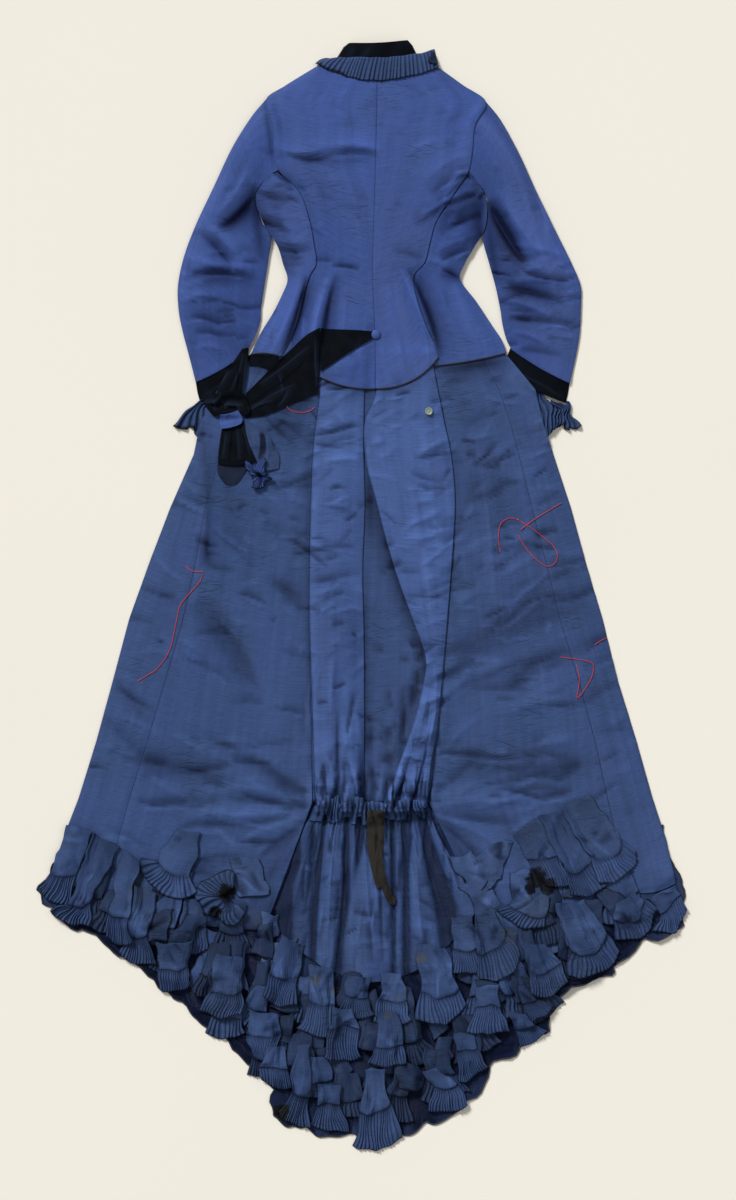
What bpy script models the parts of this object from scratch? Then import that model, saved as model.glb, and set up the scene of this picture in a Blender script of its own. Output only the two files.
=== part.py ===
"""Bustle dress of silk, laid face down on a flat surface, seen from its back.

The tables hold sizes in centimetres, as seen from above: x to the right and y towards the collar, with
the origin under the middle of the dress. A piece's rows run from its top to its bottom. Each row names
the left and the right end of one section and how far its middle bows towards the hem.
"""

import bmesh
import bpy
import numpy as np

CM = 0.01
WALL = 0.0016
SEAM = 0.0003
CELL = 0.002
HALF_WIDTH = 0.64
HALF_LENGTH = 1.06
STEEPEST = 0.5

# name, colour, roughness
MATERIALS = {
    "blue_silk": ((0.075, 0.115, 0.375), 0.5),
    "skirt_silk": ((0.06, 0.1, 0.29), 0.5),
    "frill_silk": ((0.05, 0.08, 0.25), 0.55),
    "velvet": ((0.004, 0.006, 0.018), 0.9),
    "tie_cord": ((0.045, 0.035, 0.022), 0.85),
    "covered_button": ((0.08, 0.12, 0.34), 0.45),
    "metal_button": ((0.25, 0.3, 0.24), 0.4),
}

# left x, left y, right x, right y, bow
BODICE_FRONT_LEFT = (
    (-7.6, 94.0, 2.1, 92.6, 0.6),
    (-15.6, 89.6, 2.0, 88.6, 0.0),
    (-14.3, 83.0, 2.0, 83.0, 0.0),
    (-14.8, 76.4, 1.9, 76.0, 0.0),
    (-17.6, 71.4, 1.8, 71.0, 0.0),
    (-15.8, 66.4, 1.8, 66.0, 0.0),
    (-13.2, 61.4, 1.8, 61.0, 0.0),
    (-12.4, 57.2, 1.8, 57.2, 0.0),
    (-14.0, 52.2, 1.8, 52.0, 0.0),
    (-16.6, 47.8, 1.8, 47.0, 0.0),
)
BODICE_FRONT_RIGHT = (
    (2.1, 92.6, 12.9, 93.6, 0.6),
    (2.0, 88.6, 20.6, 88.6, 0.0),
    (2.0, 83.0, 18.9, 83.0, 0.0),
    (1.9, 76.0, 18.7, 76.0, 0.0),
    (1.8, 71.0, 20.8, 71.0, 0.0),
    (1.8, 66.0, 20.8, 66.4, 0.0),
    (1.8, 61.0, 17.3, 61.4, 0.0),
    (1.8, 57.2, 16.2, 57.2, 0.0),
    (1.8, 52.0, 18.8, 52.2, 0.0),
    (1.8, 47.0, 22.2, 47.8, 0.0),
)
BODICE_BACK_LEFT = (
    (-8.6, 95.2, 2.6, 96.5, -0.9),
    (-13.8, 92.0, 2.6, 92.6, 0.0),
    (-17.3, 89.3, 2.6, 88.6, 0.0),
    (-16.2, 84.4, 2.5, 84.2, 0.0),
    (-15.9, 79.8, 2.4, 79.8, 0.0),
    (-14.9, 76.2, 2.3, 76.0, 0.0),
    (-11.3, 72.4, 2.2, 72.0, 0.0),
    (-9.5, 67.4, 2.0, 67.2, 0.0),
    (-8.7, 63.2, 1.9, 63.2, 0.0),
    (-8.3, 59.8, 1.8, 60.0, 0.0),
    (-9.6, 57.2, 1.8, 57.4, 0.0),
    (-10.7, 53.2, 2.0, 53.0, 0.0),
    (-11.7, 49.2, 2.2, 48.2, 0.0),
    (-12.6, 46.0, 2.3, 42.8, 0.9),
    (-13.0, 44.2, 2.3, 37.3, 2.2),
)
BODICE_BACK_RIGHT = (
    (2.6, 96.5, 13.8, 95.1, -0.9),
    (2.6, 92.6, 18.0, 92.0, 0.0),
    (2.6, 88.6, 22.2, 88.9, 0.0),
    (2.5, 84.2, 20.2, 84.4, 0.0),
    (2.4, 79.8, 19.7, 79.8, 0.0),
    (2.3, 76.0, 18.9, 76.0, 0.0),
    (2.2, 72.0, 16.4, 72.2, 0.0),
    (2.0, 67.2, 13.3, 67.4, 0.0),
    (1.9, 63.2, 12.1, 63.4, 0.0),
    (1.8, 60.0, 11.2, 60.0, 0.0),
    (1.8, 57.4, 9.2, 57.4, 0.0),
    (2.0, 53.0, 9.8, 53.2, 0.0),
    (2.2, 48.2, 11.5, 48.4, 0.0),
    (2.3, 42.8, 12.9, 45.4, 0.5),
    (2.3, 37.3, 13.7, 43.1, 1.7),
)
SIDE_BACK_LEFT = (
    (-17.0, 75.6, -15.2, 76.0, 0.0),
    (-19.2, 71.6, -11.3, 72.4, 0.0),
    (-17.7, 66.8, -9.5, 67.4, 0.0),
    (-15.4, 63.2, -8.7, 63.2, 0.0),
    (-14.3, 59.8, -8.3, 59.8, 0.0),
    (-13.5, 57.0, -9.6, 57.2, 0.0),
    (-14.4, 54.4, -10.7, 53.2, 0.0),
    (-16.2, 50.8, -11.7, 49.2, 0.0),
    (-18.4, 47.2, -12.9, 46.0, 0.0),
    (-20.1, 43.5, -14.6, 43.1, -0.4),
)
SIDE_BACK_RIGHT = (
    (19.0, 76.0, 19.9, 75.4, 0.0),
    (16.4, 72.2, 22.2, 71.4, 0.0),
    (13.3, 67.4, 22.1, 66.4, 0.0),
    (12.1, 63.4, 20.2, 63.0, 0.0),
    (11.2, 60.0, 18.4, 59.8, 0.0),
    (9.2, 57.4, 17.6, 57.0, 0.0),
    (9.8, 53.2, 20.5, 53.0, 0.0),
    (11.5, 48.4, 23.4, 48.6, 0.0),
    (12.9, 45.4, 25.0, 46.2, 0.0),
    (12.8, 41.4, 25.9, 43.8, 0.3),
)
SLEEVE_LEFT = (
    (-17.2, 89.6, -14.9, 76.6, -0.8),
    (-20.0, 86.2, -17.1, 75.2, -0.3),
    (-23.4, 80.8, -19.2, 72.2, 0.0),
    (-26.8, 73.6, -18.4, 68.0, 0.0),
    (-30.0, 66.8, -16.5, 64.6, 0.0),
    (-32.1, 61.2, -16.9, 60.6, 0.0),
    (-33.2, 56.0, -17.6, 56.0, 0.0),
    (-33.1, 51.6, -18.2, 52.0, 0.0),
    (-32.4, 47.8, -18.4, 49.4, 0.0),
    (-31.3, 43.6, -19.4, 46.6, 0.3),
    (-30.0, 38.5, -21.0, 43.7, 0.4),
)
SLEEVE_RIGHT = (
    (18.7, 76.6, 22.1, 89.1, -1.2),
    (20.0, 75.0, 24.9, 85.6, -0.5),
    (22.4, 71.6, 28.2, 79.6, 0.0),
    (22.2, 67.4, 31.2, 73.0, 0.0),
    (21.6, 64.4, 34.2, 66.8, 0.0),
    (22.8, 59.8, 37.2, 60.8, 0.0),
    (23.9, 55.8, 39.2, 56.0, 0.0),
    (24.7, 52.0, 39.3, 51.6, 0.0),
    (25.2, 48.8, 39.1, 47.6, 0.0),
    (25.9, 46.2, 38.4, 43.2, 0.3),
    (26.8, 44.4, 37.3, 38.3, 0.4),
)
CUFF_LEFT = (
    (-30.1, 39.0, -20.9, 44.3, 0.4),
    (-29.7, 36.6, -20.2, 41.8, 0.4),
    (-29.2, 34.8, -19.5, 40.1, 0.4),
)
CUFF_RIGHT = (
    (26.7, 45.0, 37.4, 38.9, 0.4),
    (25.7, 42.5, 37.0, 36.5, 0.4),
    (24.6, 40.7, 36.6, 34.8, 0.4),
)
CUFF_FRILL_LEFT = (
    (-29.2, 34.7, -19.5, 40.0, 0.4),
    (-31.2, 33.2, -19.0, 37.4, 1.0),
    (-33.4, 31.7, -18.4, 34.4, 4.2),
)
CUFF_FRILL_RIGHT = (
    (24.6, 40.6, 36.5, 34.7, 0.4),
    (24.0, 37.6, 38.3, 33.3, 0.8),
    (23.2, 34.4, 39.7, 31.3, 4.0),
)
COLLAR_STAND = (
    (-2.4, 99.7, 8.4, 99.8, 0.0),
    (-3.2, 98.9, 9.0, 99.0, 0.2),
    (-4.9, 96.5, 10.1, 96.9, 0.5),
)
COLLAR_FRILL = (
    (-6.4, 96.9, 12.9, 98.4, 0.9),
    (-7.6, 96.6, 13.4, 97.0, 2.2),
    (-8.5, 96.0, 13.9, 95.3, 3.1),
)
SKIRT_FRONT = (
    (-9.0, 56.0, 13.0, 56.0, 0.0),
    (-13.5, 45.0, 18.0, 45.0, 0.0),
    (-17.0, 36.0, 22.0, 36.0, 0.0),
    (-28.4, 25.0, 32.6, 25.0, 0.0),
    (-36.4, 8.0, 38.6, 8.0, 0.0),
    (-42.2, -8.0, 43.2, -8.0, 0.0),
    (-46.8, -26.0, 48.2, -26.0, 0.0),
    (-51.6, -41.0, 52.4, -41.0, 0.0),
    (-55.0, -50.4, 55.4, -50.6, 3.0),
)
SKIRT_GORE_LEFT = (
    (-11.5, 57.0, -8.5, 57.3, 0.0),
    (-15.9, 50.0, -13.0, 50.0, 0.0),
    (-20.7, 42.8, -17.0, 43.0, 0.0),
    (-26.3, 36.8, -20.5, 37.0, 0.0),
    (-29.2, 31.2, -23.4, 31.0, 0.0),
    (-30.4, 25.5, -25.6, 25.0, 0.0),
    (-34.6, 16.0, -28.2, 16.0, 0.0),
    (-38.4, 6.0, -30.0, 6.0, 0.0),
    (-42.0, -4.0, -32.2, -4.0, 0.0),
    (-44.9, -15.0, -35.4, -15.0, 0.0),
    (-47.9, -26.0, -38.6, -26.0, 0.0),
    (-51.1, -36.3, -41.8, -36.0, 0.0),
    (-53.7, -43.0, -44.5, -46.2, 0.0),
)
SKIRT_BACK_LEFT = (
    (-8.5, 57.3, -3.0, 57.5, 0.0),
    (-13.0, 50.0, -5.0, 50.0, 0.0),
    (-17.0, 43.0, -6.5, 43.0, 0.0),
    (-20.5, 37.0, -7.5, 37.0, 0.0),
    (-23.4, 31.0, -8.4, 31.0, 0.0),
    (-25.6, 25.0, -9.0, 25.0, 0.0),
    (-28.2, 16.0, -9.4, 16.0, 0.0),
    (-30.0, 6.0, -9.5, 6.0, 0.0),
    (-32.2, -4.0, -9.6, -4.0, 0.0),
    (-35.4, -15.0, -9.4, -15.0, 0.0),
    (-38.6, -26.0, -9.1, -26.0, 0.0),
    (-41.8, -36.0, -9.0, -37.0, 0.0),
    (-44.5, -46.2, -13.2, -49.0, -1.5),
)
SKIRT_BACK_CENTRE = (
    (-3.0, 57.5, 7.0, 57.5, 0.0),
    (-5.0, 50.0, 9.5, 50.0, 0.0),
    (-6.5, 43.0, 12.0, 43.0, 0.0),
    (-7.5, 37.0, 13.5, 37.0, 0.0),
    (-8.4, 31.0, 14.8, 31.0, 0.0),
    (-9.0, 25.0, 15.8, 25.0, 0.0),
    (-9.4, 16.0, 16.5, 16.0, 0.0),
    (-9.5, 6.0, 16.2, 6.0, 0.0),
    (-9.6, -4.0, 15.4, -4.0, 0.0),
    (-9.4, -15.0, 14.6, -15.0, 0.0),
    (-9.1, -26.0, 13.4, -26.0, 0.0),
    (-8.9, -37.0, 11.9, -37.0, 0.0),
)
SKIRT_BACK_RIGHT = (
    (7.0, 57.5, 12.5, 57.3, 0.0),
    (9.5, 50.0, 17.0, 50.0, 0.0),
    (12.0, 43.0, 21.4, 43.0, 0.0),
    (13.5, 37.0, 24.6, 37.0, 0.0),
    (14.8, 31.0, 26.6, 31.0, 0.0),
    (15.8, 25.0, 28.2, 25.0, 0.0),
    (16.5, 16.0, 30.4, 16.0, 0.0),
    (16.2, 6.0, 33.0, 6.0, 0.0),
    (15.4, -4.0, 35.5, -4.0, 0.0),
    (14.6, -15.0, 38.8, -15.0, 0.0),
    (13.4, -26.0, 41.8, -26.0, 0.0),
    (12.0, -37.0, 44.0, -36.0, 0.0),
    (16.8, -48.6, 45.6, -44.0, -1.5),
)
SKIRT_GORE_RIGHT = (
    (12.5, 57.3, 15.5, 57.0, 0.0),
    (17.0, 50.0, 20.4, 50.0, 0.0),
    (21.4, 43.0, 25.8, 43.6, 0.0),
    (24.6, 37.0, 31.1, 37.2, 0.0),
    (26.6, 31.0, 32.5, 31.2, 0.0),
    (28.2, 25.0, 34.4, 25.4, 0.0),
    (30.4, 16.0, 37.5, 16.0, 0.0),
    (33.0, 6.0, 40.2, 6.0, 0.0),
    (35.5, -4.0, 43.2, -4.0, 0.0),
    (38.8, -15.0, 45.9, -15.0, 0.0),
    (41.8, -26.0, 49.3, -26.0, 0.0),
    (44.0, -36.0, 52.1, -36.0, 0.0),
    (45.6, -44.0, 54.4, -43.0, 0.0),
)
BACK_PLEAT_LEFT = (
    (-6.6, 44.0, 0.4, 44.0, 0.0),
    (-7.8, 35.0, 0.3, 35.0, 0.0),
    (-8.8, 26.5, 0.2, 26.5, 0.0),
    (-9.2, 16.0, 0.4, 16.0, 0.0),
    (-9.5, 5.0, 0.0, 5.0, 0.0),
    (-9.4, -5.0, 0.2, -5.0, 0.0),
    (-9.1, -15.0, 0.3, -15.0, 0.0),
    (-8.8, -25.0, 0.3, -25.0, 0.0),
    (-8.2, -34.6, 0.2, -34.8, 0.0),
)
BACK_PLEAT_RIGHT = (
    (3.5, 43.5, 12.3, 43.5, 0.0),
    (2.3, 36.0, 13.3, 38.2, 0.0),
    (0.4, 31.2, 14.6, 31.8, 0.0),
    (0.6, 24.4, 16.0, 24.8, 0.0),
    (2.5, 17.0, 16.6, 17.2, 0.0),
    (4.3, 10.0, 16.3, 10.0, 0.0),
    (6.3, 3.4, 15.8, 3.4, 0.0),
    (8.9, -3.8, 15.2, -4.2, 0.0),
    (11.2, -10.4, 14.6, -11.0, 0.0),
    (11.0, -15.2, 14.1, -16.6, 0.0),
    (9.2, -22.6, 13.4, -23.6, 0.0),
    (6.4, -30.4, 12.2, -30.6, 0.0),
    (4.2, -34.8, 10.9, -34.8, 0.0),
)
TRAIN_BACK = (
    (-8.8, -37.5, 11.8, -37.5, 0.0),
    (-10.9, -42.6, 13.6, -42.6, 1.2),
    (-13.0, -48.6, 16.7, -48.2, 5.0),
    (-14.8, -54.0, 19.0, -52.6, 8.0),
    (-16.0, -59.0, 20.4, -56.6, 11.5),
)
GATHER_BAND = (
    (-8.6, -34.9, 11.4, -34.9, 0.0),
    (-9.0, -37.4, 11.9, -37.4, 0.0),
    (-9.8, -40.0, 12.6, -40.0, 0.2),
)
TRAIN_BASE = (
    (-52.6, -41.4, 53.3, -41.0, 0.0),
    (-55.0, -47.6, 55.6, -47.4, 0.0),
    (-58.2, -52.1, 57.3, -52.6, 0.0),
    (-56.9, -55.6, 58.5, -57.0, 0.6),
    (-52.9, -59.0, 57.2, -60.0, 1.2),
    (-47.6, -61.2, 51.6, -61.8, 3.0),
    (-42.4, -65.0, 46.8, -64.8, 3.6),
    (-37.3, -68.5, 44.3, -68.4, 4.0),
    (-34.6, -72.0, 39.4, -69.5, 4.0),
    (-31.2, -74.8, 34.5, -72.5, 4.0),
    (-27.6, -77.8, 33.0, -78.2, 3.4),
    (-23.2, -81.8, 27.4, -81.6, 3.0),
    (-19.2, -85.4, 22.6, -85.4, 3.0),
    (-16.0, -88.9, 20.8, -89.4, 3.0),
    (-16.0, -93.8, 17.0, -92.8, 4.0),
)
SASH_POINT = (
    (1.8, 47.6, 1.8, 46.2, 0.0),
    (-1.0, 47.8, -1.0, 44.6, 0.0),
    (-4.0, 47.9, -4.0, 42.6, 0.0),
    (-7.5, 48.1, -7.5, 40.4, 0.0),
)
SASH_BAND = (
    (-7.6, 48.2, -7.9, 36.3, 0.0),
    (-10.2, 46.8, -10.4, 35.5, 0.0),
    (-12.9, 44.3, -13.0, 34.4, 0.0),
    (-15.6, 41.9, -15.4, 33.3, 0.0),
    (-18.2, 39.2, -17.8, 32.4, 0.0),
    (-21.0, 36.4, -21.0, 32.0, 0.0),
)
SASH_LOOP = (
    (-21.6, 44.5, -20.4, 44.7, 0.0),
    (-23.4, 41.8, -20.6, 41.8, 0.0),
    (-24.9, 39.4, -20.9, 39.4, 0.0),
    (-26.3, 36.4, -21.6, 36.2, 0.0),
)
SASH_KNOT = (
    (-27.8, 36.2, -21.2, 36.2, -0.6),
    (-28.7, 35.1, -20.6, 34.6, 0.0),
    (-27.6, 33.7, -20.5, 33.0, 0.2),
    (-26.4, 32.6, -21.8, 32.4, -0.2),
)
SASH_KEEPER = (
    (-25.5, 32.6, -22.3, 33.4, 0.2),
    (-25.7, 31.2, -21.5, 32.0, 0.2),
    (-25.3, 30.1, -21.7, 31.0, 0.2),
)
SASH_TAIL = (
    (-25.2, 30.6, -21.3, 31.3, 0.0),
    (-25.6, 28.0, -20.8, 28.4, 0.0),
    (-25.9, 25.6, -19.8, 26.0, 0.0),
    (-25.9, 23.5, -19.4, 24.0, 0.0),
    (-26.5, 22.0, -20.9, 22.4, 0.0),
    (-25.6, 20.5, -22.0, 20.6, 0.2),
)
SASH_FAN = (
    (-21.6, 31.6, -20.4, 31.2, 0.0),
    (-20.9, 29.0, -17.2, 29.4, 0.0),
    (-20.2, 26.8, -15.8, 27.2, 0.0),
    (-19.6, 24.6, -15.0, 25.0, 0.0),
    (-20.9, 22.0, -15.2, 23.0, 0.2),
    (-20.9, 19.4, -17.4, 20.2, 1.0),
)
GATHER_TIE = (
    (0.9, -38.6, 3.6, -38.6, 0.0),
    (0.9, -43.0, 3.8, -43.0, 0.0),
    (1.2, -47.0, 3.7, -47.0, 0.0),
    (2.4, -51.0, 4.6, -50.8, 0.0),
    (4.4, -54.6, 6.2, -54.0, 0.0),
)

# name, root: left x, left y, right x, right y; tip: the same and its bow; frill edge: the same and its bow
TABS = (
    ("tab_right_10", 50.6, -54.2, 56.2, -52.1, 53.4, -57.2, 57.0, -53.8, 0.3, 52.2, -60.4, 58.3, -56.4, 2.0),
    ("tab_right_9", 45.2, -55.2, 49.0, -53.0, 45.2, -58.2, 50.2, -54.6, 2.0, 45.6, -61.8, 53.0, -56.2, 2.2),
    ("tab_right_6", 34.6, -55.2, 39.6, -54.2, 37.2, -63.8, 44.0, -60.8, 1.9, 36.8, -67.9, 46.4, -63.6, 2.4),
    ("tab_right_8", 27.6, -61.2, 33.0, -62.6, 29.7, -67.3, 35.7, -66.0, 0.8, 30.1, -71.3, 37.0, -69.3, 1.2),
    ("tab_right_7", 19.6, -54.4, 23.2, -55.4, 20.2, -63.8, 25.3, -59.8, 2.0, 20.3, -68.4, 28.2, -64.0, 2.2),
    ("tab_right_5", 27.6, -52.6, 33.8, -54.0, 26.2, -55.4, 32.6, -57.2, 0.8, 23.6, -55.6, 32.8, -59.3, 1.4),
    ("tab_right_3", 26.6, -42.6, 31.8, -39.8, 29.6, -47.6, 35.6, -46.2, 0.2, 31.6, -50.8, 37.2, -51.6, 0.8),
    ("tab_right_2", 31.8, -39.4, 35.5, -38.0, 36.2, -48.9, 41.0, -47.6, 1.3, 37.0, -53.7, 43.9, -51.2, 1.6),
    ("tab_right_1", 35.6, -37.8, 41.0, -35.0, 40.8, -46.7, 46.4, -43.5, 2.1, 41.6, -50.8, 49.3, -45.6, 2.7),
    ("tab_train_5", 0.3, -84.9, 4.2, -84.9, -0.3, -93.0, 4.8, -90.6, 1.2, -2.0, -98.5, 7.2, -97.3, 1.9),
    ("tab_train_4", -8.0, -87.6, -4.0, -88.0, -8.6, -91.5, -3.6, -91.2, -0.3, -9.4, -95.0, -2.6, -96.4, 0.6),
    ("tab_train_6", -12.0, -80.5, -9.2, -80.5, -13.0, -89.0, -9.4, -90.0, 0.6, -15.4, -92.6, -9.6, -95.0, 0.8),
    ("tab_train_2", 2.4, -74.5, 6.6, -74.5, 2.7, -80.5, 7.2, -80.4, 0.1, 0.4, -84.1, 8.2, -83.8, 0.5),
    ("tab_train_1", -5.2, -73.5, -1.4, -73.8, -5.8, -77.9, -0.9, -77.8, -0.6, -7.3, -82.8, -0.2, -82.8, 0.8),
    ("tab_train_3", 9.8, -62.5, 15.0, -62.8, 10.3, -71.0, 17.3, -70.5, 1.2, 9.6, -76.0, 18.4, -73.6, 1.9),
    ("tab_train_7", 20.3, -69.8, 24.3, -69.6, 20.0, -74.4, 25.0, -73.4, -0.8, 18.4, -77.8, 26.4, -78.2, 0.3),
    ("tab_left_1", -53.0, -41.2, -48.6, -42.2, -56.0, -49.8, -51.8, -50.2, 0.4, -58.3, -52.3, -53.0, -55.2, 1.3),
    ("tab_left_2", -48.2, -42.6, -43.8, -45.0, -52.8, -55.0, -48.6, -54.8, 0.6, -56.2, -56.4, -49.2, -59.2, 1.2),
    ("tab_left_3", -43.4, -45.6, -40.0, -47.0, -45.4, -57.0, -42.0, -57.2, 0.3, -46.6, -61.4, -41.4, -62.0, 0.8),
    ("tab_left_6", -37.4, -62.0, -30.4, -61.8, -36.8, -67.0, -31.0, -66.4, 0.4, -36.3, -70.4, -31.0, -69.6, 0.9),
    ("tab_left_7", -26.4, -63.8, -21.4, -65.2, -27.4, -71.0, -21.4, -70.6, 0.5, -29.2, -74.5, -21.8, -75.0, 0.7),
    ("tab_left_5", -28.6, -49.6, -23.2, -49.6, -28.0, -52.2, -22.4, -52.6, 0.4, -28.2, -55.6, -21.6, -56.2, 1.8),
    ("tab_left_4", -33.4, -41.4, -28.8, -42.6, -37.0, -47.0, -30.8, -49.6, 1.9, -40.2, -47.2, -29.4, -53.2, 3.4),
)
TAB_WAVES = 4
TAB_WAVE_RISE = 0.4

# y, left x, right x, height
BODY_MOUND = (
    (37.0, -22.0, 28.0, 1.0),
    (46.0, -20.4, 26.2, 1.7),
    (52.0, -15.8, 21.4, 2.0),
    (57.0, -13.7, 17.7, 2.2),
    (60.0, -14.6, 18.6, 2.4),
    (66.0, -17.8, 22.3, 2.7),
    (72.0, -19.6, 22.6, 2.9),
    (77.0, -20.6, 25.6, 2.9),
    (81.0, -22.8, 27.2, 2.8),
    (86.0, -20.4, 24.8, 2.5),
    (90.0, -16.8, 21.4, 2.2),
    (95.0, -8.6, 14.0, 1.6),
    (97.0, -7.0, 12.0, 1.3),
)
SKIRT_MOUND = (
    (-50.0, -57.0, 57.0, 0.9),
    (-36.0, -51.2, 52.2, 1.3),
    (-15.0, -45.0, 46.0, 1.4),
    (6.0, -38.5, 40.3, 1.5),
    (25.0, -30.6, 34.5, 1.5),
    (37.0, -26.6, 31.2, 1.6),
    (50.0, -16.2, 20.6, 1.5),
    (57.0, -11.6, 15.6, 1.3),
)

# start x, start y, end x, end y, width, height
SKIRT_FOLDS = (
    (-28.0, 31.0, -28.6, 7.0, 1.9, 0.55),
    (-31.0, -1.5, -20.8, -17.0, 3.0, -0.5),
    (-26.0, 2.0, -14.0, -24.0, 3.4, 0.35),
    (18.0, -13.0, 42.0, -2.0, 3.0, -0.4),
    (20.0, -22.0, 40.0, -18.0, 4.0, 0.3),
    (-40.0, -33.0, -26.0, -32.0, 2.6, -0.35),
    (20.0, -33.5, 42.0, -32.5, 2.6, -0.35),
    (24.0, 20.0, 35.0, 21.0, 2.6, 0.3),
)
BODICE_FOLDS = (
    (-13.0, 83.5, 1.5, 81.8, 2.2, 0.3),
    (-9.0, 79.2, 4.0, 78.0, 2.0, -0.3),
    (11.0, 67.0, 21.0, 71.5, 2.2, -0.35),
    (-6.5, 56.0, -8.6, 44.0, 1.2, -0.5),
    (7.4, 57.0, 12.0, 45.0, 1.4, 0.4),
)
SLEEVE_FOLDS = (
    (-30.5, 56.8, -19.0, 57.0, 1.4, -0.45),
    (-29.0, 64.0, -24.0, 58.5, 1.6, -0.4),
    (24.5, 55.0, 35.0, 52.8, 1.5, -0.45),
    (23.6, 69.0, 29.0, 61.0, 1.6, -0.6),
    (28.5, 58.6, 38.0, 56.6, 1.2, 0.4),
)
NO_FOLDS = ()


def clear_scene():
    """Removes every object of the open scene."""
    for obj in list(bpy.data.objects):
        bpy.data.objects.remove(obj, do_unlink=True)


def make_material(name):
    """A Principled material with the piece's colour and roughness."""
    colour, roughness = MATERIALS[name]
    material = bpy.data.materials.new(name)
    material.use_nodes = True
    shader = material.node_tree.nodes["Principled BSDF"]
    shader.inputs["Base Color"].default_value = (*colour, 1.0)
    shader.inputs["Roughness"].default_value = roughness
    material.diffuse_color = (*colour, 1.0)
    return material


def spline(rows, place):
    """Catmull-Rom curve through the rows at place, counted in rows."""
    rows = np.asarray(rows, float)
    padded = np.vstack([2 * rows[0] - rows[1], rows, 2 * rows[-1] - rows[-2]])
    start = np.clip(np.floor(place).astype(int), 0, len(rows) - 2)
    t = (place - start)[:, None]
    before, first, second, after = (padded[start + i] for i in range(4))
    return 0.5 * (
        2 * first
        + (second - before) * t
        + (2 * before - 5 * first + 4 * second - after) * t**2
        + (3 * first - before - 3 * second + after) * t**3
    )


def straight(rows, place):
    """Straight stretches between the rows at place, counted in rows."""
    rows = np.asarray(rows, float)
    start = np.clip(np.floor(place).astype(int), 0, len(rows) - 2)
    t = (place - start)[:, None]
    return rows[start] * (1 - t) + rows[start + 1] * t


def on_plan(rows, u, v, curve):
    """Plan points in metres, u across a row and v down the rows, half a seam inside the piece's edges."""
    sections = curve(rows, v * (len(rows) - 1))
    left, right, bow = sections[:, 0:2], sections[:, 2:4], sections[:, 4:5]
    across = right - left
    width = np.linalg.norm(across, axis=1, keepdims=True)
    edge = 0.5 * SEAM / CM / width
    u = edge + u[:, None] * (1 - 2 * edge)
    hemward = np.stack([across[:, 1], -across[:, 0]], axis=1) / width
    return (left + across * u + hemward * bow * 4 * u * (1 - u)) * CM


def inset(rows, amount):
    """The rows drawn in at both ends by amount."""
    narrower = []
    for left_x, left_y, right_x, right_y, bow in rows:
        width = np.hypot(right_x - left_x, right_y - left_y)
        step_x = amount * (right_x - left_x) / width
        step_y = amount * (right_y - left_y) / width
        narrower.append((left_x + step_x, left_y + step_y, right_x - step_x, right_y - step_y, max(bow, 0.2)))
    return tuple(narrower)


def shorten(rows, first, last):
    """The rows with the first moved towards the hem and the last away from it by these amounts."""
    rows = [np.array(row) for row in rows]
    for end, amount in ((0, first), (-1, -last)):
        across = rows[end][2:4] - rows[end][0:2]
        hemward = np.array([across[1], -across[0]]) * amount / np.linalg.norm(across)
        rows[end][0:4] += np.tile(hemward, 2)
    return rows


def lattice(steps):
    """Weights of evenly spread places in a triangle."""
    first, second = np.mgrid[0 : steps + 1, 0 : steps + 1]
    inside = first + second <= steps
    first, second = first[inside], second[inside]
    return np.stack([first, second, steps - first - second], axis=1) / steps


def by_size(points, triangles, spacing):
    """Groups of triangles with the lattice that puts a place in each stretch of spacing."""
    corners = points[triangles][:, :, :2]
    sides = np.linalg.norm(corners - np.roll(corners, 1, axis=1), axis=2).max(axis=1)
    steps = np.maximum(np.ceil(sides / spacing).astype(int), 1)
    for count in np.unique(steps):
        yield triangles[steps == count], lattice(count)


class Pile:
    """Height of what already lies at each place."""

    def __init__(self):
        self.top = np.zeros((int(2 * HALF_WIDTH / CELL), int(2 * HALF_LENGTH / CELL)))

    def cells(self, plan):
        column = ((plan[..., 0] + HALF_WIDTH) / CELL).astype(int)
        row = ((plan[..., 1] + HALF_LENGTH) / CELL).astype(int)
        return column, row

    def under(self, plan):
        """Lowest height that clears what lies at each place and in the cells round it."""
        column, row = self.cells(plan)
        steps = (-1, 0, 1)
        height = np.max([self.top[column + i, row + j] for i in steps for j in steps], axis=0)
        return np.where(height > 0, height + SEAM, 0.0)

    def settle(self, points, triangles):
        """Adds a finished piece."""
        for chosen, weights in by_size(points, triangles, 0.7 * CELL):
            places = np.einsum("kc,mcd->mkd", weights, points[chosen])
            column, row = self.cells(places)
            np.maximum.at(self.top, (column.ravel(), row.ravel()), places[..., 2].ravel())


def drape(pile, plan, triangles, least):
    """Lowest heights, none under least, at which no triangle of the piece dips into the pile."""
    height = np.maximum(pile.under(plan), least)
    groups = []
    for chosen, weights in by_size(plan, triangles, 2 * CELL):
        needed = pile.under(np.einsum("kc,mcd->mkd", weights, plan[chosen]))
        groups.append((chosen, weights, needed))
    for step in range(160):
        rise = np.zeros(len(plan))
        for chosen, weights, needed in groups:
            lack = needed - height[chosen] @ weights.T
            share = weights / (weights**2).sum(axis=1, keepdims=True)
            lift = (np.maximum(lack, 0)[..., None] * share[None]).max(axis=1)
            np.maximum.at(rise, chosen.ravel(), lift.ravel())
        height += rise * (0.3 if step < 60 else 1.0)
        if rise.max() < 1e-6:
            break
    for _ in range(40):
        fall = height - least
        for chosen, weights, needed in groups:
            spare = np.maximum(height[chosen] @ weights.T - needed, 0)[..., None]
            room = np.where(weights[None] > 0, spare, np.inf).min(axis=1)
            np.minimum.at(fall, chosen.ravel(), room.ravel())
        height -= fall
    return height


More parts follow.
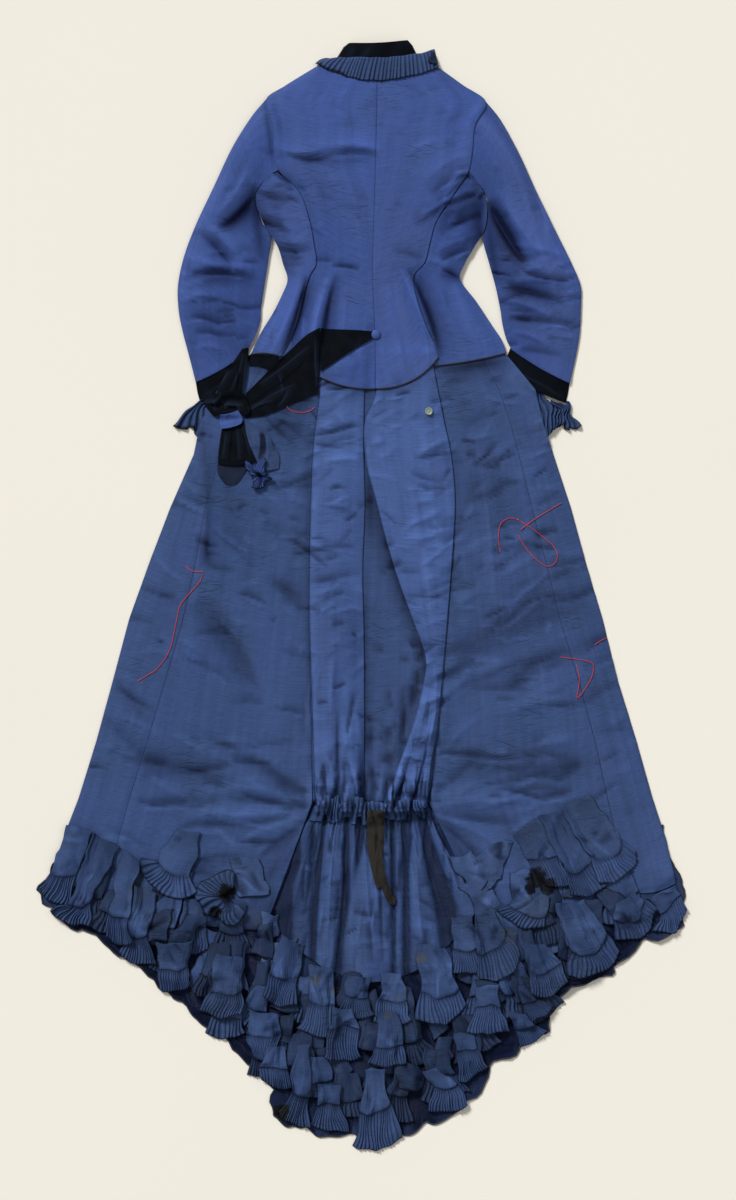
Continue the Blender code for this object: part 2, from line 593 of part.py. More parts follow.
def mound_height(table, plan):
    """Height of a rounded mound of cloth over the surface."""
    table = np.asarray(table, float) * CM
    y = plan[:, 1]
    left, right, height = (np.interp(y, table[:, 0], table[:, i]) for i in (1, 2, 3))
    side = np.abs((2 * plan[:, 0] - left - right) / (right - left)).clip(0, 1)
    return height * np.sqrt(1 - side**3)


def fold_height(table, plan):
    """Height of soft ridges, and depth of troughs, that run straight and fade at their ends."""
    total = np.zeros(len(plan))
    for x0, y0, x1, y1, width, height in table:
        start, end = np.array([x0, y0]) * CM, np.array([x1, y1]) * CM
        run = end - start
        along = ((plan - start) @ run / (run @ run)).clip(0, 1)
        away = np.linalg.norm(plan - start - along[:, None] * run, axis=1)
        profile = np.exp(-((away / (width * CM)) ** 2))
        total += height * CM * profile * np.sqrt(np.sin(np.pi * (0.1 + 0.8 * along)))
    return total


def grid_mesh(columns, rows):
    """An open grid split into triangles, with the place of each vertex in it."""
    mesh = bmesh.new()
    bmesh.ops.create_grid(mesh, x_segments=columns, y_segments=rows, size=1.0)
    bmesh.ops.triangulate(mesh, faces=mesh.faces[:], quad_method="SHORT_EDGE")
    mesh.verts.ensure_lookup_table()
    mesh.verts.index_update()
    u = np.array([0.5 + 0.5 * vert.co.x for vert in mesh.verts])
    v = np.array([0.5 - 0.5 * vert.co.y for vert in mesh.verts])
    triangles = np.array([[vert.index for vert in face.verts] for face in mesh.faces])
    return mesh, u, v, triangles


def thicken(mesh, thickness):
    """Closes an open sheet into a wall that rises from it."""
    wall = mesh.verts.layers.float.new("wall")
    mesh.normal_update()
    for vert in mesh.verts:
        vert[wall] = thickness / max(abs(vert.normal.z), STEEPEST)
    made = bmesh.ops.extrude_face_region(mesh, geom=mesh.faces[:], use_keep_orig=True)
    for item in made["geom"]:
        if isinstance(item, bmesh.types.BMVert):
            item.co.z += item[wall]
    bmesh.ops.recalc_face_normals(mesh, faces=mesh.faces[:])


def add_object(name, mesh, material, collection):
    data = bpy.data.meshes.new(name)
    mesh.to_mesh(data)
    mesh.free()
    data.materials.append(material)
    obj = bpy.data.objects.new(name, data)
    collection.objects.link(obj)
    return obj


def read_mesh(obj):
    """Points and triangles of a finished piece."""
    obj.data.calc_loop_triangles()
    points = np.array([vert.co for vert in obj.data.vertices])
    return points, np.array([triangle.vertices for triangle in obj.data.loop_triangles])


class Dress:
    """Lays each piece on those before it. The pieces of one layer don't lie on each other."""

    def __init__(self):
        self.collection = bpy.data.collections.new("bustle_dress")
        bpy.context.scene.collection.children.link(self.collection)
        self.materials = {name: make_material(name) for name in MATERIALS}
        self.pile = Pile()
        self.layer = []

    def sheet(self, name, rows, columns, material, steps=1, curve=spline, mound=None, dome=(0, 0),
              folds=NO_FOLDS, waves=0, rise=(0, 0), lift=0.0, thickness=WALL):
        """One piece of cloth. Dome and rise give heights in centimetres at its first and last row."""
        mesh, u, v, triangles = grid_mesh(columns, steps * (len(rows) - 1))
        plan = on_plan(rows, u, v, curve)
        inside = (u > 0.001) & (u < 0.999)
        over = (dome[0] * (1 - v) + dome[1] * v) * CM * np.sqrt(1 - np.abs(2 * u - 1) ** 2.6)
        if mound is not None:
            over = np.maximum(over, mound_height(mound, plan))
        least = np.maximum(over + fold_height(folds, plan) * inside, 0)
        height = drape(self.pile, plan, triangles, least)
        if waves:
            crest = np.round(u * columns).astype(int) % 2
            height = height + crest * (rise[0] * (1 - v) + rise[1] * v) * CM
        height = height + lift * CM * inside
        for vert, (x, y), z in zip(mesh.verts, plan, height, strict=True):
            vert.co = (x, y, z)
        thicken(mesh, thickness)
        self.layer.append(add_object(name, mesh, self.materials[material], self.collection))

    def tab(self, name, sizes):
        """A hanging tab with its knife-pleated frill, as one piece."""
        root, tip, edge = sizes[0:4] + (0.0,), sizes[4:9], sizes[9:14]
        mesh, u, v, triangles = grid_mesh(2 * TAB_WAVES, 4)
        plan = on_plan((root, tip, edge), u, v, straight)
        height = drape(self.pile, plan, triangles, np.zeros(len(plan)))
        crest = np.round(u * 2 * TAB_WAVES).astype(int) % 2
        frill = ((v - 0.45) / 0.55).clip(0, 1)
        height = height + crest * frill * TAB_WAVE_RISE * CM
        for vert, (x, y), z in zip(mesh.verts, plan, height, strict=True):
            vert.co = (x, y, z)
        thicken(mesh, WALL)
        self.layer.append(add_object(name, mesh, self.materials["frill_silk"], self.collection))

    def tube(self, name, rows, segments, material, height, thickness=0.002):
        """A flattened band, open at both ends, that lies on the surface."""
        turn = np.pi * np.arange(segments + 1) / segments
        place = np.concatenate([turn, turn[-2:0:-1]])
        upper = np.arange(len(place)) <= segments
        mesh = bmesh.new()
        rings = []
        for k in range(len(rows)):
            v = np.full(len(place), k / (len(rows) - 1))
            width = np.hypot(rows[k][2] - rows[k][0], rows[k][3] - rows[k][1]) * CM
            inset = 3 * thickness / width
            across = 0.5 - 0.5 * np.cos(place)
            inner = inset + across * (1 - 2 * inset)
            arch = height * CM * (4 * across * (1 - across)) ** 0.45
            inner_arch = height * CM * (4 * inner * (1 - inner)) ** 0.45 - 1.2 * thickness
            outside = np.where(upper, arch, 0.0)
            corner = (across < 1e-6) | (across > 1 - 1e-6)
            inside = np.where(corner, 1.4 * thickness, np.where(upper, inner_arch, thickness))
            for flat, level in ((across, outside), (inner, inside)):
                points = np.column_stack([on_plan(rows, flat, v, straight), level])
                rings.append([mesh.verts.new(point) for point in points])
        count = len(place)
        for side in (0, 1):
            for k in range(len(rows) - 1):
                near, far = rings[2 * k + side], rings[2 * k + 2 + side]
                for i in range(count):
                    j = (i + 1) % count
                    mesh.faces.new((near[i], near[j], far[j], far[i]))
        for outer, inner in ((rings[0], rings[1]), (rings[-2], rings[-1])):
            for i in range(count):
                j = (i + 1) % count
                mesh.faces.new((outer[i], outer[j], inner[j], inner[i]))
        bmesh.ops.recalc_face_normals(mesh, faces=mesh.faces[:])
        self.layer.append(add_object(name, mesh, self.materials[material], self.collection))

    def button(self, name, centre, radius, thickness, material):
        """A domed button that lies on what is under it."""
        x, y = centre[0] * CM, centre[1] * CM
        turns = np.linspace(0, 2 * np.pi, 24, endpoint=False)
        rim = np.stack([x + radius * CM * np.cos(turns), y + radius * CM * np.sin(turns)], axis=1)
        plan = np.vstack([rim, 0.5 * (rim + (x, y)), [[x, y]]])
        seat = self.pile.under(plan).max()
        mesh = bmesh.new()
        bmesh.ops.create_uvsphere(mesh, u_segments=16, v_segments=8, radius=1.0)
        for vert in mesh.verts:
            rise = max(vert.co.z, -0.25) + 0.25
            vert.co = (x + vert.co.x * radius * CM, y + vert.co.y * radius * CM, seat + rise * thickness * CM)
        bmesh.ops.remove_doubles(mesh, verts=mesh.verts[:], dist=1e-5)
        self.layer.append(add_object(name, mesh, self.materials[material], self.collection))

    def lay(self):
        """Ends a layer, so that the next one lies on it."""
        for obj in self.layer:
            self.pile.settle(*read_mesh(obj))
        self.layer = []


def make_under_side(dress):
    """The pieces that lie on the surface: fronts, under sleeves, cuffs and the skirt's front."""
    dress.sheet("bodice_front_left", BODICE_FRONT_LEFT, 3, "blue_silk")
    dress.sheet("bodice_front_right", BODICE_FRONT_RIGHT, 3, "blue_silk")
    for side, rows in (("left", SLEEVE_LEFT), ("right", SLEEVE_RIGHT)):
        dress.sheet(f"sleeve_{side}_under", shorten(inset(rows, 0.35), 1.2, 0.56), 2, "blue_silk")
    dress.tube("cuff_left", CUFF_LEFT, 8, "velvet", 1.0)
    dress.tube("cuff_right", CUFF_RIGHT, 8, "velvet", 1.0)
    dress.sheet("cuff_frill_left", CUFF_FRILL_LEFT, 20, "frill_silk", waves=10, rise=(0.25, 0.5))
    dress.sheet("cuff_frill_right", CUFF_FRILL_RIGHT, 20, "frill_silk", waves=10, rise=(0.25, 0.5))
    dress.tube("collar_stand", COLLAR_STAND[::-1], 8, "velvet", 1.6)
    dress.lay()
    dress.sheet("skirt_front", SKIRT_FRONT, 6, "skirt_silk", curve=straight)
    dress.lay()
    dress.sheet("train_base", TRAIN_BASE, 12, "skirt_silk", curve=straight)
    dress.lay()


def make_skirt(dress):
    """The skirt's back layer, its drapery folds, the gathers and the train."""
    for name, rows, columns in (
        ("skirt_gore_left", SKIRT_GORE_LEFT, 2),
        ("skirt_back_left", SKIRT_BACK_LEFT, 6),
        ("skirt_back_centre", SKIRT_BACK_CENTRE, 4),
        ("skirt_back_right", SKIRT_BACK_RIGHT, 6),
        ("skirt_gore_right", SKIRT_GORE_RIGHT, 2),
    ):
        dress.sheet(name, rows, columns, "skirt_silk", curve=straight, mound=SKIRT_MOUND, folds=SKIRT_FOLDS)
    dress.sheet("train_back", TRAIN_BACK, 16, "skirt_silk", steps=2, waves=8, rise=(0.5, 1.3))
    dress.lay()
    dress.sheet("back_pleat_left", BACK_PLEAT_LEFT, 5, "skirt_silk", lift=0.3)
    dress.lay()
    dress.sheet("back_pleat_right", BACK_PLEAT_RIGHT, 5, "skirt_silk", lift=0.35)
    dress.lay()
    dress.sheet("gather_band", GATHER_BAND, 28, "skirt_silk", waves=14, rise=(0.35, 0.5))
    dress.button("skirt_button", (11.9, 33.2), 0.7, 0.35, "metal_button")
    dress.lay()
    dress.sheet("gather_tie", GATHER_TIE, 3, "tie_cord", steps=3)
    dress.lay()


def make_flounces(dress):
    """The hanging tabs, from the ones that lie lowest."""
    for name, *sizes in TABS:
        dress.tab(name, tuple(sizes))
        dress.lay()


def make_bodice(dress):
    """The upper sleeves, then the bodice's back with its tails."""
    for side, rows in (("left", SLEEVE_LEFT), ("right", SLEEVE_RIGHT)):
        dress.sheet(
            f"sleeve_{side}_upper", rows, 6, "blue_silk", mound=BODY_MOUND, dome=(2.4, 0.8), folds=SLEEVE_FOLDS
        )
    dress.lay()
    for layer in (
        (("bodice_side_back_right", SIDE_BACK_RIGHT, 4),),
        (("bodice_back_left", BODICE_BACK_LEFT, 6), ("bodice_back_right", BODICE_BACK_RIGHT, 6)),
        (("bodice_side_back_left", SIDE_BACK_LEFT, 4),),
    ):
        for name, rows, columns in layer:
            dress.sheet(name, rows, columns, "blue_silk", mound=BODY_MOUND, folds=BODICE_FOLDS)
        dress.lay()
    dress.sheet("collar_frill", COLLAR_FRILL, 56, "frill_silk", waves=28, rise=(0.1, 0.25))
    dress.lay()


def make_sash(dress):
    """The velvet sash from the button on the tail to its knot and ends."""
    dress.sheet("sash_band", SASH_BAND, 3, "velvet", dome=(0.2, 0.6), lift=0.1)
    dress.sheet("sash_point", SASH_POINT, 2, "velvet", lift=0.1)
    dress.sheet("sash_fan", SASH_FAN, 6, "blue_silk", waves=3, rise=(0.1, 0.3))
    dress.lay()
    dress.sheet("sash_loop", SASH_LOOP, 3, "velvet", steps=2, lift=0.6)
    dress.sheet("sash_tail", SASH_TAIL, 3, "velvet", lift=0.25)
    dress.lay()
    dress.sheet("sash_knot", SASH_KNOT, 6, "velvet", steps=2, lift=0.7)
    dress.lay()
    dress.sheet("sash_keeper", SASH_KEEPER, 4, "blue_silk", steps=2, lift=0.3)
    dress.button("tail_button", (2.4, 47.0), 0.9, 0.45, "covered_button")
    dress.lay()


def main():
    clear_scene()
    dress = Dress()
    make_under_side(dress)
    make_skirt(dress)
    make_flounces(dress)
    make_bodice(dress)
    make_sash(dress)


main()
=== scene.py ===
"""Bustle dress of silk and velvet, laid face down on a pale surface and seen from its back.

The tables hold sizes in centimetres, as seen from above: x to the right and y towards the collar, with
the origin under the middle of the dress. A piece's rows run from its top to its bottom. Each row names
the left and the right end of one section and how far its middle bows towards the hem.
"""

import bpy
import numpy as np
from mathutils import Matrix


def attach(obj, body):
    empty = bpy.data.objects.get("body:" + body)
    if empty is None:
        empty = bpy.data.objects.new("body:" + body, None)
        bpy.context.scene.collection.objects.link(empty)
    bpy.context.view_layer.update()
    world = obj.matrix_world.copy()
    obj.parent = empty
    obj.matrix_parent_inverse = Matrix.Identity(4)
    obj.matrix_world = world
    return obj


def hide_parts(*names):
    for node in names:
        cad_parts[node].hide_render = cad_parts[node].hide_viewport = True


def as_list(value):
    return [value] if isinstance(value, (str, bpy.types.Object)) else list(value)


bl_info = {
    "name": "Bustle dress",
    "version": (1, 0, 0),
    "blender": (4, 5, 0),
    "location": "3D View > Sidebar > Bustle dress",
    "description": "Lays out the cut and sewn pieces of a silk bustle dress",
    "category": "Object",
}

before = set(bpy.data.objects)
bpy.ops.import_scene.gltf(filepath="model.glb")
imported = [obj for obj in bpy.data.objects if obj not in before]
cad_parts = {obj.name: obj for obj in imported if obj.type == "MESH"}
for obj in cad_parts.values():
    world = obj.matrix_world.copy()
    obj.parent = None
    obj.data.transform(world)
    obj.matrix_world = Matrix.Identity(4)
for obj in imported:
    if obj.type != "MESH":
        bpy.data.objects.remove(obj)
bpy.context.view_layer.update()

CM = 0.01
# metres: the gap at a seam, and the cell, half width and half length of the map of heights
SEAM = 0.0003
CELL = 0.002
HALF_WIDTH = 0.64
HALF_LENGTH = 1.06
# the photograph's scale, and its pixel over the origin
PHOTO_PIXEL_CM = 0.18
PHOTO_CENTRE = (362.5, 596.5)
# the share of a knife pleat that rises slowly, and how little further on a place is read, to be in its own pleat
PLEAT_TURN = 0.85
PLEAT_START = 0.0001
# how a fold's steepness becomes shade and light: the power, the shade and its most, and the light
FOLD_POWER = 0.65
FOLD_SHADE = 0.9
FOLD_SHADE_MOST = 0.75
FOLD_LIGHT = 0.8
# metres: a flute this high has no shade on it
FLUTE_CLEAR = 0.006
# how steeply a crease falls off to its sides and fades to its ends
CREASE_SIDE = 1.3
CREASE_END = 0.7
# least and most depth of uneven pleats, as shares of what is asked for
UNEVEN = (0.6, 1.4)
# how square the sides of a domed sheet are
DOME_SHOULDER = 2.6
# centimetres: width and most depth of the dark line along a seam, and how much deeper it is than the seam's dip
SEAM_LINE_WIDTH = 0.16
SEAM_LINE_MOST = 0.3
SEAM_LINE_DEPTH = 3
# places down a tab: where its flap ends, and its bound edge
FLAP_END = 0.503
FLAP_BINDING = 0.487
# radius of the hem's binding and height of its middle, as shares of the other bindings' radius
HEM_RADIUS = 1.2
HEM_HEIGHT = 1.25
# metres: height and radius of the loose threads, height and spacing of the stitches
LOOSE_HEIGHT = 0.0006
LOOSE_RADIUS = 0.00065
STITCH_HEIGHT = 0.0002
STITCH_SPACING = 0.0055
# what a hung tab may still rise: its room on the surface, the pile in metres that takes up 1 of it, and the least
ROOM_AT_SURFACE = 1.2
ROOM_PILE = 0.027
ROOM_LEAST = 0.1
# metres: side margin, wall, floor and edge level of a flattened tube's inside
TUBE_MARGIN = 0.006
TUBE_WALL = 0.0022
TUBE_FLOOR = 0.0016
TUBE_EDGE = 0.0024

# left x, left y, right x, right y, bow
BODICE_FRONT_LEFT = (
    (-7.6, 94.0, 2.1, 92.6, 0.6),
    (-15.6, 89.6, 2.0, 88.6, 0.0),
    (-14.3, 83.0, 2.0, 83.0, 0.0),
    (-14.8, 76.4, 1.9, 76.0, 0.0),
    (-17.6, 71.4, 1.8, 71.0, 0.0),
    (-15.8, 66.4, 1.8, 66.0, 0.0),
    (-13.2, 61.4, 1.8, 61.0, 0.0),
    (-12.4, 57.2, 1.8, 57.2, 0.0),
    (-14.0, 52.2, 1.8, 52.0, 0.0),
    (-16.6, 47.8, 1.8, 47.0, 0.0),
)
BODICE_FRONT_RIGHT = (
    (2.1, 92.6, 12.9, 93.6, 0.6),
    (2.0, 88.6, 20.6, 88.6, 0.0),
    (2.0, 83.0, 18.9, 83.0, 0.0),
    (1.9, 76.0, 18.7, 76.0, 0.0),
    (1.8, 71.0, 20.8, 71.0, 0.0),
    (1.8, 66.0, 20.8, 66.4, 0.0),
    (1.8, 61.0, 17.3, 61.4, 0.0),
    (1.8, 57.2, 16.2, 57.2, 0.0),
    (1.8, 52.0, 18.8, 52.2, 0.0),
    (1.8, 47.0, 22.2, 47.8, 0.0),
)
BODICE_BACK_LEFT = (
    (-8.6, 95.2, 2.6, 96.5, -0.9),
    (-13.8, 92.0, 2.6, 92.6, 0.0),
    (-17.3, 89.3, 2.6, 88.6, 0.0),
    (-16.2, 84.4, 2.5, 84.2, 0.0),
    (-15.9, 79.8, 2.4, 79.8, 0.0),
    (-14.9, 76.2, 2.3, 76.0, 0.0),
    (-11.3, 72.4, 2.2, 72.0, 0.0),
    (-9.5, 67.4, 2.0, 67.2, 0.0),
    (-8.7, 63.2, 1.9, 63.2, 0.0),
    (-8.3, 59.8, 1.8, 60.0, 0.0),
    (-9.6, 57.2, 1.8, 57.4, 0.0),
    (-10.7, 53.2, 2.0, 53.0, 0.0),
    (-11.7, 49.2, 2.2, 48.2, 0.0),
    (-12.6, 46.0, 2.3, 42.8, 0.9),
    (-13.0, 44.2, 2.3, 37.3, 2.2),
)
BODICE_BACK_RIGHT = (
    (2.6, 96.5, 13.8, 95.1, -0.9),
    (2.6, 92.6, 18.0, 92.0, 0.0),
    (2.6, 88.6, 22.2, 88.9, 0.0),
    (2.5, 84.2, 20.2, 84.4, 0.0),
    (2.4, 79.8, 19.7, 79.8, 0.0),
    (2.3, 76.0, 18.9, 76.0, 0.0),
    (2.2, 72.0, 16.4, 72.2, 0.0),
    (2.0, 67.2, 13.3, 67.4, 0.0),
    (1.9, 63.2, 12.1, 63.4, 0.0),
    (1.8, 60.0, 11.2, 60.0, 0.0),
    (1.8, 57.4, 9.2, 57.4, 0.0),
    (2.0, 53.0, 9.8, 53.2, 0.0),
    (2.2, 48.2, 11.5, 48.4, 0.0),
    (2.3, 42.8, 12.9, 45.4, 0.5),
    (2.3, 37.3, 13.7, 43.1, 1.7),
)
SIDE_BACK_LEFT = (
    (-17.0, 75.6, -15.2, 76.0, 0.0),
    (-19.2, 71.6, -11.3, 72.4, 0.0),
    (-17.7, 66.8, -9.5, 67.4, 0.0),
    (-15.4, 63.2, -8.7, 63.2, 0.0),
    (-14.3, 59.8, -8.3, 59.8, 0.0),
    (-13.5, 57.0, -9.6, 57.2, 0.0),
    (-14.4, 54.4, -10.7, 53.2, 0.0),
    (-16.2, 50.8, -11.7, 49.2, 0.0),
    (-18.4, 47.2, -12.9, 46.0, 0.0),
    (-20.1, 43.5, -14.6, 43.1, -0.4),
)
SIDE_BACK_RIGHT = (
    (19.0, 76.0, 19.9, 75.4, 0.0),
    (16.4, 72.2, 22.2, 71.4, 0.0),
    (13.3, 67.4, 22.1, 66.4, 0.0),
    (12.1, 63.4, 20.2, 63.0, 0.0),
    (11.2, 60.0, 18.4, 59.8, 0.0),
    (9.2, 57.4, 17.6, 57.0, 0.0),
    (9.8, 53.2, 20.5, 53.0, 0.0),
    (11.5, 48.4, 23.4, 48.6, 0.0),
    (12.9, 45.4, 25.0, 46.2, 0.0),
    (12.8, 41.4, 25.9, 43.8, 0.3),
)
SLEEVE_LEFT = (
    (-17.2, 89.6, -14.9, 76.6, -0.8),
    (-20.0, 86.2, -17.1, 75.2, -0.3),
    (-23.4, 80.8, -19.2, 72.2, 0.0),
    (-26.8, 73.6, -18.4, 68.0, 0.0),
    (-30.0, 66.8, -16.5, 64.6, 0.0),
    (-32.1, 61.2, -16.9, 60.6, 0.0),
    (-33.2, 56.0, -17.6, 56.0, 0.0),
    (-33.1, 51.6, -18.2, 52.0, 0.0),
    (-32.4, 47.8, -18.4, 49.4, 0.0),
    (-31.3, 43.6, -19.4, 46.6, 0.3),
    (-30.0, 38.5, -21.0, 43.7, 0.4),
)
SLEEVE_RIGHT = (
    (18.7, 76.6, 22.1, 89.1, -1.2),
    (20.0, 75.0, 24.9, 85.6, -0.5),
    (22.4, 71.6, 28.2, 79.6, 0.0),
    (22.2, 67.4, 31.2, 73.0, 0.0),
    (21.6, 64.4, 34.2, 66.8, 0.0),
    (22.8, 59.8, 37.2, 60.8, 0.0),
    (23.9, 55.8, 39.2, 56.0, 0.0),
    (24.7, 52.0, 39.3, 51.6, 0.0),
    (25.2, 48.8, 39.1, 47.6, 0.0),
    (25.9, 46.2, 38.4, 43.2, 0.3),
    (26.8, 44.4, 37.3, 38.3, 0.4),
)
CUFF_LEFT = (
    (-30.1, 39.0, -20.9, 44.3, 0.4),
    (-29.7, 36.6, -20.2, 41.8, 0.4),
    (-29.2, 34.8, -19.5, 40.1, 0.4),
)
CUFF_RIGHT = (
    (26.7, 45.0, 37.4, 38.9, 0.4),
    (25.7, 42.5, 37.0, 36.5, 0.4),
    (24.6, 40.7, 36.6, 34.8, 0.4),
)
CUFF_FRILL_LEFT = (
    (-29.2, 34.7, -19.5, 40.0, 0.4),
    (-31.2, 33.2, -19.0, 37.4, 1.0),
    (-33.4, 31.7, -18.4, 34.4, 4.2),
)
CUFF_FRILL_RIGHT = (
    (24.6, 40.6, 36.5, 34.7, 0.4),
    (24.0, 37.6, 38.3, 33.3, 0.8),
    (23.2, 34.4, 39.7, 31.3, 4.0),
)
COLLAR_STAND = (
    (-2.5, 99.6, 8.2, 100.1, 0.4),
    (-3.4, 98.9, 9.0, 99.2, 0.4),
    (-4.9, 96.5, 10.1, 96.9, 0.6),
)
COLLAR_FRILL = (
    (-6.4, 96.9, 12.9, 98.4, 0.9),
    (-7.6, 96.6, 13.4, 97.0, 2.2),
    (-8.5, 96.0, 13.9, 95.3, 3.1),
)
COLLAR_TURN = (
    (12.6, 98.0, 12.9, 98.0, 0.0),
    (12.1, 97.0, 13.3, 97.0, 0.0),
    (11.7, 96.1, 13.6, 95.7, 0.2),
)
SKIRT_FRONT = (
    (-9.0, 56.0, 13.0, 56.0, 0.0),
    (-13.5, 45.0, 18.0, 45.0, 0.0),
    (-17.0, 36.0, 22.0, 36.0, 0.0),
    (-28.4, 25.0, 32.6, 25.0, 0.0),
    (-36.4, 8.0, 38.6, 8.0, 0.0),
    (-42.2, -8.0, 43.2, -8.0, 0.0),
    (-46.8, -26.0, 48.2, -26.0, 0.0),
    (-51.6, -41.0, 52.4, -41.0, 0.0),
    (-55.0, -50.4, 55.4, -50.6, 3.0),
)
SKIRT_GORE_LEFT = (
    (-11.5, 57.0, -8.5, 57.3, 0.0),
    (-15.9, 50.0, -13.0, 50.0, 0.0),
    (-20.7, 42.8, -17.0, 43.0, 0.0),
    (-26.3, 36.8, -20.5, 37.0, 0.0),
    (-29.2, 31.2, -23.4, 31.0, 0.0),
    (-30.4, 25.5, -25.6, 25.0, 0.0),
    (-34.6, 16.0, -28.2, 16.0, 0.0),
    (-38.4, 6.0, -30.0, 6.0, 0.0),
    (-42.0, -4.0, -32.2, -4.0, 0.0),
    (-44.9, -15.0, -35.4, -15.0, 0.0),
    (-47.9, -26.0, -38.6, -26.0, 0.0),
    (-51.1, -36.3, -41.8, -36.0, 0.0),
    (-53.7, -43.0, -44.6, -46.2, 0.0),
    (-56.0, -50.0, -46.0, -54.0, 0.5),
)
SKIRT_BACK_LEFT = (
    (-8.5, 57.3, -3.0, 57.5, 0.0),
    (-13.0, 50.0, -5.0, 50.0, 0.0),
    (-17.0, 43.0, -6.5, 43.0, 0.0),
    (-20.5, 37.0, -7.5, 37.0, 0.0),
    (-23.4, 31.0, -8.4, 31.0, 0.0),
    (-25.6, 25.0, -9.0, 25.0, 0.0),
    (-28.2, 16.0, -9.4, 16.0, 0.0),
    (-30.0, 6.0, -9.5, 6.0, 0.0),
    (-32.2, -4.0, -9.6, -4.0, 0.0),
    (-35.4, -15.0, -9.4, -15.0, 0.0),
    (-38.6, -26.0, -9.1, -26.0, 0.0),
    (-41.8, -36.0, -9.0, -37.0, 0.0),
    (-44.6, -46.2, -12.6, -46.6, 0.0),
    (-46.0, -54.0, -17.6, -60.0, 1.5),
)
SKIRT_BACK_CENTRE = (
    (-3.0, 57.5, 7.0, 57.5, 0.0),
    (-5.0, 50.0, 9.5, 50.0, 0.0),
    (-6.5, 43.0, 12.0, 43.0, 0.0),
    (-7.5, 37.0, 13.5, 37.0, 0.0),
    (-8.4, 31.0, 14.8, 31.0, 0.0),
    (-9.0, 25.0, 15.8, 25.0, 0.0),
    (-9.4, 16.0, 16.5, 16.0, 0.0),
    (-9.5, 6.0, 16.2, 6.0, 0.0),
    (-9.6, -4.0, 15.4, -4.0, 0.0),
    (-9.4, -15.0, 14.6, -15.0, 0.0),
    (-9.1, -26.0, 13.4, -26.0, 0.0),
    (-8.9, -37.0, 11.9, -37.0, 0.0),
)
SKIRT_BACK_RIGHT = (
    (7.0, 57.5, 12.5, 57.3, 0.0),
    (9.5, 50.0, 17.0, 50.0, 0.0),
    (12.0, 43.0, 21.4, 43.0, 0.0),
    (13.5, 37.0, 24.6, 37.0, 0.0),
    (14.8, 31.0, 26.6, 31.0, 0.0),
    (15.8, 25.0, 28.2, 25.0, 0.0),
    (16.5, 16.0, 30.4, 16.0, 0.0),
    (16.2, 6.0, 33.0, 6.0, 0.0),
    (15.4, -4.0, 35.5, -4.0, 0.0),
    (14.6, -15.0, 38.8, -15.0, 0.0),
    (13.4, -26.0, 41.8, -26.0, 0.0),
    (12.0, -37.0, 44.0, -36.0, 0.0),
    (16.6, -46.6, 45.8, -44.0, 0.0),
    (23.6, -58.4, 47.6, -53.0, 1.5),
)
SKIRT_GORE_RIGHT = (
    (12.5, 57.3, 15.5, 57.0, 0.0),
    (17.0, 50.0, 20.4, 50.0, 0.0),
    (21.4, 43.0, 25.8, 43.6, 0.0),
    (24.6, 37.0, 31.1, 37.2, 0.0),
    (26.6, 31.0, 32.5, 31.2, 0.0),
    (28.2, 25.0, 34.4, 25.4, 0.0),
    (30.4, 16.0, 37.5, 16.0, 0.0),
    (33.0, 6.0, 40.2, 6.0, 0.0),
    (35.5, -4.0, 43.2, -4.0, 0.0),
    (38.8, -15.0, 45.9, -15.0, 0.0),
    (41.8, -26.0, 49.3, -26.0, 0.0),
    (44.0, -36.0, 52.1, -36.0, 0.0),
    (45.8, -44.0, 54.6, -43.6, 0.0),
    (47.6, -53.0, 56.4, -51.6, 1.0),
)
BACK_PLEAT_LEFT = (
    (-6.6, 44.0, 0.4, 44.0, 0.0),
    (-7.8, 35.0, 0.3, 35.0, 0.0),
    (-8.8, 26.5, 0.2, 26.5, 0.0),
    (-9.2, 16.0, 0.4, 16.0, 0.0),
    (-9.5, 5.0, 0.0, 5.0, 0.0),
    (-9.4, -5.0, 0.2, -5.0, 0.0),
    (-9.1, -15.0, 0.3, -15.0, 0.0),
    (-8.8, -25.0, 0.3, -25.0, 0.0),
    (-8.4, -38.2, 0.2, -38.2, 0.0),
)
BACK_PLEAT_RIGHT = (
    (3.5, 43.5, 12.3, 43.5, 0.0),
    (2.3, 36.0, 13.3, 38.2, 0.0),
    (0.4, 31.2, 14.6, 31.8, 0.0),
    (0.6, 24.4, 16.0, 24.8, 0.0),
    (2.5, 17.0, 16.6, 17.2, 0.0),
    (4.3, 10.0, 16.3, 10.0, 0.0),
    (6.3, 3.4, 15.8, 3.4, 0.0),
    (8.9, -3.8, 15.2, -4.2, 0.0),
    (11.2, -10.4, 14.6, -11.0, 0.0),
    (11.0, -15.2, 14.1, -16.6, 0.0),
    (9.2, -22.6, 13.4, -23.6, 0.0),
    (6.4, -30.4, 12.2, -30.6, 0.0),
    (3.2, -38.2, 11.6, -38.2, 0.0),
)
TRAIN_BACK = (
    (-8.8, -37.5, 11.8, -37.5, 0.0),
    (-10.9, -42.6, 13.6, -42.6, 1.2),
    (-13.0, -48.6, 16.7, -48.2, 5.0),
    (-14.8, -54.0, 19.0, -52.6, 8.0),
    (-16.0, -59.0, 20.4, -56.6, 11.5),
)
GATHER_BAND = (
    (-8.6, -36.7, 11.7, -36.7, 0.1),
    (-8.8, -37.9, 11.9, -37.9, 0.2),
    (-9.4, -39.7, 12.5, -39.7, 0.3),
)
